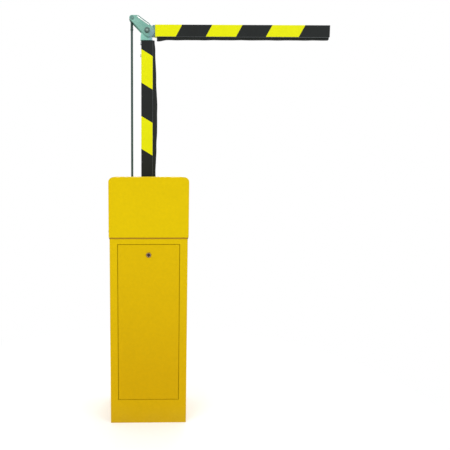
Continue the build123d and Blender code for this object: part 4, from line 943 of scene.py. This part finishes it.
def sectionTwoScrews():
    mesh = bmesh.new()
    for x in rearScrews["places"]:
        domedScrew(mesh, (x, rearScrews["seat"], elbow.z), backwards, *rearScrews["head"])
    front, rear, lift = ear["front"], ear["rear"], elbowBolt["lift"]
    turnedAbout(mesh, (0, front, elbow.z), forwards, elbowBolt["washer"])
    hexHead(mesh, (0, front - lift, elbow.z), forwards, *elbowBolt["head"])
    turnedAbout(mesh, (0, rear, elbow.z), backwards, elbowBolt["washer"])
    hexHead(mesh, (0, rear + lift, elbow.z), backwards, *elbowBolt["nut"], ringed=False)
    thread = [elbowBolt["start"]]
    for k in range(elbowBolt["threads"]):
        thread += [(along + elbowBolt["pitch"] * k, radius)
                   for along, radius in (elbowBolt["crest"], elbowBolt["root"])]
    thread += [elbowBolt["end"]]
    turnedAbout(mesh, (0, rear, elbow.z), backwards, thread, 24)
    pieceFrom("section_two_screws", mesh, "elbowBolt", "outer_arm",
              "outer_boom_fasteners", 30)


sectionOneScrews()
sectionTwoScrews()
print("boom screws made")


# Ends of the parallel rod: a forged eye, drawn down to a sleeve little wider than the rod, and a lock nut.
rodEnd = dict(bore=0.0062, crown=0.0006, flank=0.3, root=(0.8, 0.0070), neck=(1.15, 0.0060), sleeve=0.0057,
              sleeveStart=0.020, sleeveBevel=(0.0006, 0.0004), nut=(0.0064, 0.0045))


def rodEnds():
    low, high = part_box("rod_ends")
    nutLow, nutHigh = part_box("rod_lock_nuts")
    middle = (low + high) / 2
    radius = (high.x - low.x) / 2
    half = (high.y - low.y) / 2
    bore, crown, sleeve = rodEnd["bore"], rodEnd["crown"], rodEnd["sleeve"]
    flank = [(half * rodEnd["flank"], radius), (half - crown, radius - crown), (half, radius - 3 * crown),
             (half, bore + crown), (half - crown, bore)]
    ring = [(-along, size) for along, size in reversed(flank)] + flank
    eyes = bmesh.new()
    nuts = bmesh.new()
    for z, away, face in ((low.z + radius, 1, nutLow.z), (high.z - radius, -1, nutHigh.z)):
        end = abs(face - z)
        bevel, shrink = rodEnd["sleeveBevel"]
        neck = [(radius * along, size) for along, size in (rodEnd["root"], rodEnd["neck"])]
        neck += [(rodEnd["sleeveStart"], sleeve), (end - bevel, sleeve), (end, sleeve - shrink)]
        turnedAbout(eyes, (middle.x, middle.y, z), backwards, ring, 48, hollow=True)
        turnedAbout(eyes, (middle.x, middle.y, z), (0, 0, away), neck)
        hexHead(nuts, (middle.x, middle.y, face), (0, 0, away), *rodEnd["nut"], ringed=False)
    pieceFrom("rod_eye_sleeves", eyes, "rodCoating", "parallel_rod", "rod_ends", 35)
    pieceFrom("rod_thin_nuts", nuts, "rodCoating", "parallel_rod", "rod_lock_nuts", 30)


rodEnds()
print("rod ends made")


lockRim = dict(outer=0.0112, inner=0.0072, proud=0.0028, seat=-0.1400)


def lockRing():
    # A half-round rim on the door, tinted yellow-brown as a painted reflection of the yellow paint round it.
    low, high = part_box("lock_housing")
    middle = ((low.x + high.x) / 2, lockRim["seat"], (low.z + high.z) / 2)
    centre = (lockRim["outer"] + lockRim["inner"]) / 2
    half = (lockRim["outer"] - lockRim["inner"]) / 2
    arch = [(lockRim["proud"] * sin(pi * k / 12), centre + half * cos(pi * k / 12)) for k in range(13)]
    mesh = bmesh.new()
    turnedAbout(mesh, middle, forwards, arch, 64, hollow=True)
    pieceFrom("lock_rim", mesh, "lockRimReflection", "door")


lockRing()


# Screws of the cabinet, each kind on both sides. A shank is (distance from the seat, radius) pairs.
hoodScrews = dict(side=0.160, depth=0.090, height=0.800, head=(0.0060, 0.0032),
                  shank=[(-0.0002, 0.0029), (0.0100, 0.0029), (0.0108, 0.0022)], nutSide=0.155,
                  nut=(0.0050, 0.0040))
flangeScrews = dict(side=0.0212, heights=(0.8288, 0.8712), seat=0.1560,
                    shape=[(-0.0150, 0.0029), (-0.0033, 0.0030), (-0.0003, 0.0060), (0.0, 0.00582),
                           (0.0, 0.00252), (-0.0016, 0.00228)])
plateScrews = dict(side=0.095, heights=(0.795, 0.905), seat=-0.0580, head=(0.0080, 0.0064))
wallBolts = dict(side=0.110, heights=(0.510, 0.750), seat=0.1400, radius=0.0100, domeHeight=0.0040,
                 domeSteps=6, shank=[(0.0, 0.0048), (0.0190, 0.0048), (0.0200, 0.0040)], nutSeat=0.1300,
                 nut=(0.0080, 0.0080))
housingBolts = dict(side=0.043, heights=(0.807, 0.893), head=(0.0065, 0.0053), shank=(0.0039, 0.0200),
                    ends=((-0.0380, 1), (0.1180, -1)))


def cabinetScrews():
    mesh = bmesh.new()
    z = hoodScrews["height"]
    for side in (-1, 1):
        for y in (-hoodScrews["depth"], hoodScrews["depth"]):
            domedScrew(mesh, (side * hoodScrews["side"], y, z), (side, 0, 0), *hoodScrews["head"])
            hexHead(mesh, (side * hoodScrews["nutSide"], y, z), (-side, 0, 0), *hoodScrews["nut"],
                    ringed=False)
            turnedAbout(mesh, (side * hoodScrews["side"], y, z), (-side, 0, 0), hoodScrews["shank"])
    for x, z in bothSides(flangeScrews):
        turnedAbout(mesh, (x, flangeScrews["seat"], z), backwards, flangeScrews["shape"], 36)
    for x, z in bothSides(plateScrews):
        hexHead(mesh, (x, plateScrews["seat"], z), forwards, *plateScrews["head"])
    radius, height, steps = wallBolts["radius"], wallBolts["domeHeight"], wallBolts["domeSteps"]
    dome = [(0.0, radius * 0.97), (0.0005, radius)]
    dome += [(height * sin(angle), radius * cos(angle) ** 0.7)
             for angle in (pi / 2 * k / steps for k in range(2, steps))]
    dome += [(height, radius * 0.05)]
    for x, z in bothSides(wallBolts):
        turnedAbout(mesh, (x, wallBolts["seat"], z), backwards, dome, 40)
        hexHead(mesh, (x, wallBolts["nutSeat"], z), forwards, *wallBolts["nut"], ringed=False)
        turnedAbout(mesh, (x, wallBolts["seat"], z), forwards, wallBolts["shank"])
    radius, length = housingBolts["shank"]
    for x, z in bothSides(housingBolts):
        for y, way in housingBolts["ends"]:
            hexHead(mesh, (x, y, z), (0, way, 0), *housingBolts["head"])
            turnedAbout(mesh, (x, y, z), (0, -way, 0), [(0.0, radius), (length, radius)])
    pieceFrom("cabinet_screws", mesh, "platedFastener", "root", "cabinet_fasteners", 30)


cabinetScrews()


# Painted shadow: the strip under the hood stands in for the shadow of the gap there.
shadowStrip = dict(height=0.0055, overlap=0.0010, proud=0.0016, bevel=0.0012, footProud=0.6, corner=0.0030,
              cornerSteps=6)


def roundedWall(low, high, out):
    # The cabinet's outline moved out, with rounded corners.
    left, right, front, rear = low.x - out, high.x + out, low.y - out, high.y + out
    radius, steps = shadowStrip["corner"], shadowStrip["cornerSteps"]
    points = []
    for x, y, start in ((right - radius, rear - radius, 0), (left + radius, rear - radius, 90),
                        (left + radius, front + radius, 180), (right - radius, front + radius, 270)):
        for k in range(steps + 1):
            angle = radians(start + 90 * k / steps)
            points.append((x + radius * cos(angle), y + radius * sin(angle)))
    return points


def hoodShadowStrip():
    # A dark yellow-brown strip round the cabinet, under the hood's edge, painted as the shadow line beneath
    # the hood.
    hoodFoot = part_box("hood")[0].z
    low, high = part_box("cabinet_body")
    top, foot, proud = hoodFoot + shadowStrip["overlap"], hoodFoot - shadowStrip["height"], shadowStrip["proud"]
    section = [(0.0, top), (proud, top), (proud, foot + shadowStrip["bevel"]), (proud * shadowStrip["footProud"], foot),
               (0.0, foot)]
    mesh = bmesh.new()
    skin(mesh, [[(x, y, z) for x, y in roundedWall(low, high, out)] for out, z in section], closed=True)
    pieceFrom("hood_shadow_strip", mesh, "shadowStripPaint", "root")


hoodShadowStrip()
print("lock rim, cabinet screws and gasket made")


# The studio. A light is its name, place, target, width and watts.
studio = dict(floor="E9E9E8", floorRadius=14.0, floorCentre=0.02, floorRings=24, floorSides=48,
              floorGlow=0.30, shadowRoom=(0.45, 1.3), surround=0.62,
              camera=(-0.060, -2.352, 1.040), pitch=7.63, yaw=1.02, lens=44.52, sensor=36,
              shift=(0.181, 0.048),
              lights=[("keyLight", (-2.2, -3.2, 3.4), (0, 0, 0.9), 2.6, 62),
                      ("fillLight", (2.8, -3.0, 2.2), (0, 0, 0.9), 2.6, 34),
                      ("topLight", (0.2, 0.4, 4.2), (0.1, 0, 0.8), 2.4, 30),
                      ("backLight", (0.6, 3.4, 2.4), (0, 0, 0.9), 2.4, 40)])


def studioFloor():
    # The floor takes the shadow near the barrier, and is plain white beyond shadowRoom.
    # Its rings are finer near the barrier. As one large face it would mirror differently in the film.
    finish = Finish("studioFloor", studio)
    x, y, z = finish.axes()
    start, stop = studio["shadowRoom"]
    far = finish.clamp((finish.distance(x, y) - start) / (stop - start))
    plain = finish.node("ShaderNodeBsdfDiffuse", None, {"Color": tint(studio["floor"])})
    glow = finish.light("ShaderNodeEmission", studio["floorGlow"])
    white = finish.light("ShaderNodeEmission", 1.0)
    near = finish.node("ShaderNodeAddShader", None, {0: plain, 1: glow})
    shown = finish.node("ShaderNodeMixShader", None, {0: far, 1: near, 2: white})
    seen = finish.seenBy("Is Camera Ray", "Is Glossy Ray")
    surface = finish.node("ShaderNodeMixShader", None, {0: seen, 1: plain, 2: shown})
    finish.node("ShaderNodeOutputMaterial", None, {"Surface": surface})
    mesh = bmesh.new()
    count, radius = studio["floorRings"], studio["floorRadius"]
    rings = [circle(0, 0, radius * (i / count) ** 2 + studio["floorCentre"], studio["floorSides"])
             for i in range(count + 1)]
    skin(mesh, [[(x, y, 0) for x, y in ring] for ring in rings], capped=False)
    middle = [edge for edge in mesh.edges if edge.is_boundary and edge.verts[0].co.length < radius]
    bmesh.ops.contextual_create(mesh, geom=middle)
    objectFrom("studio_floor", mesh, finish.material, 30)


def surround():
    # Soft light from all round, which shows as white behind the barrier and in what mirrors it.
    world = bpy.data.worlds.new("surround")
    world.use_nodes = True
    wiring = Wiring(world.node_tree)
    seen = wiring.seenBy("Is Camera Ray", "Is Glossy Ray", "Is Transmission Ray")
    light = wiring.light("ShaderNodeBackground", studio["surround"])
    shown = wiring.light("ShaderNodeBackground", 1.0)
    surface = wiring.node("ShaderNodeMixShader", None, {0: seen, 1: light, 2: shown})
    wiring.node("ShaderNodeOutputWorld", None, {"Surface": surface})
    bpy.context.scene.world = world


def softLight(name, place, towards, width, watts):
    data = bpy.data.lights.new(name, "AREA")
    data.shape = "DISK"
    data.size = width
    data.energy = watts
    lamp = bpy.data.objects.new(name, data)
    lamp.location = place
    lamp.rotation_mode = "QUATERNION"
    lamp.rotation_quaternion = (Vector(towards) - Vector(place)).to_track_quat("-Z", "Y")
    bpy.context.scene.collection.objects.link(lamp)


def shootingCamera():
    data = bpy.data.cameras.new("shootingCamera")
    data.sensor_width = studio["sensor"]
    data.lens = studio["lens"]
    data.shift_x, data.shift_y = studio["shift"]
    camera = bpy.data.objects.new("shootingCamera", data)
    camera.location = studio["camera"]
    camera.rotation_euler = (radians(90 - studio["pitch"]), 0, radians(-studio["yaw"]))
    bpy.context.scene.collection.objects.link(camera)
    bpy.context.scene.camera = camera


studioFloor()
surround()
for light in studio["lights"]:
    softLight(*light)
shootingCamera()
bpy.context.scene.view_settings.view_transform = "Standard"
print("studio set up")
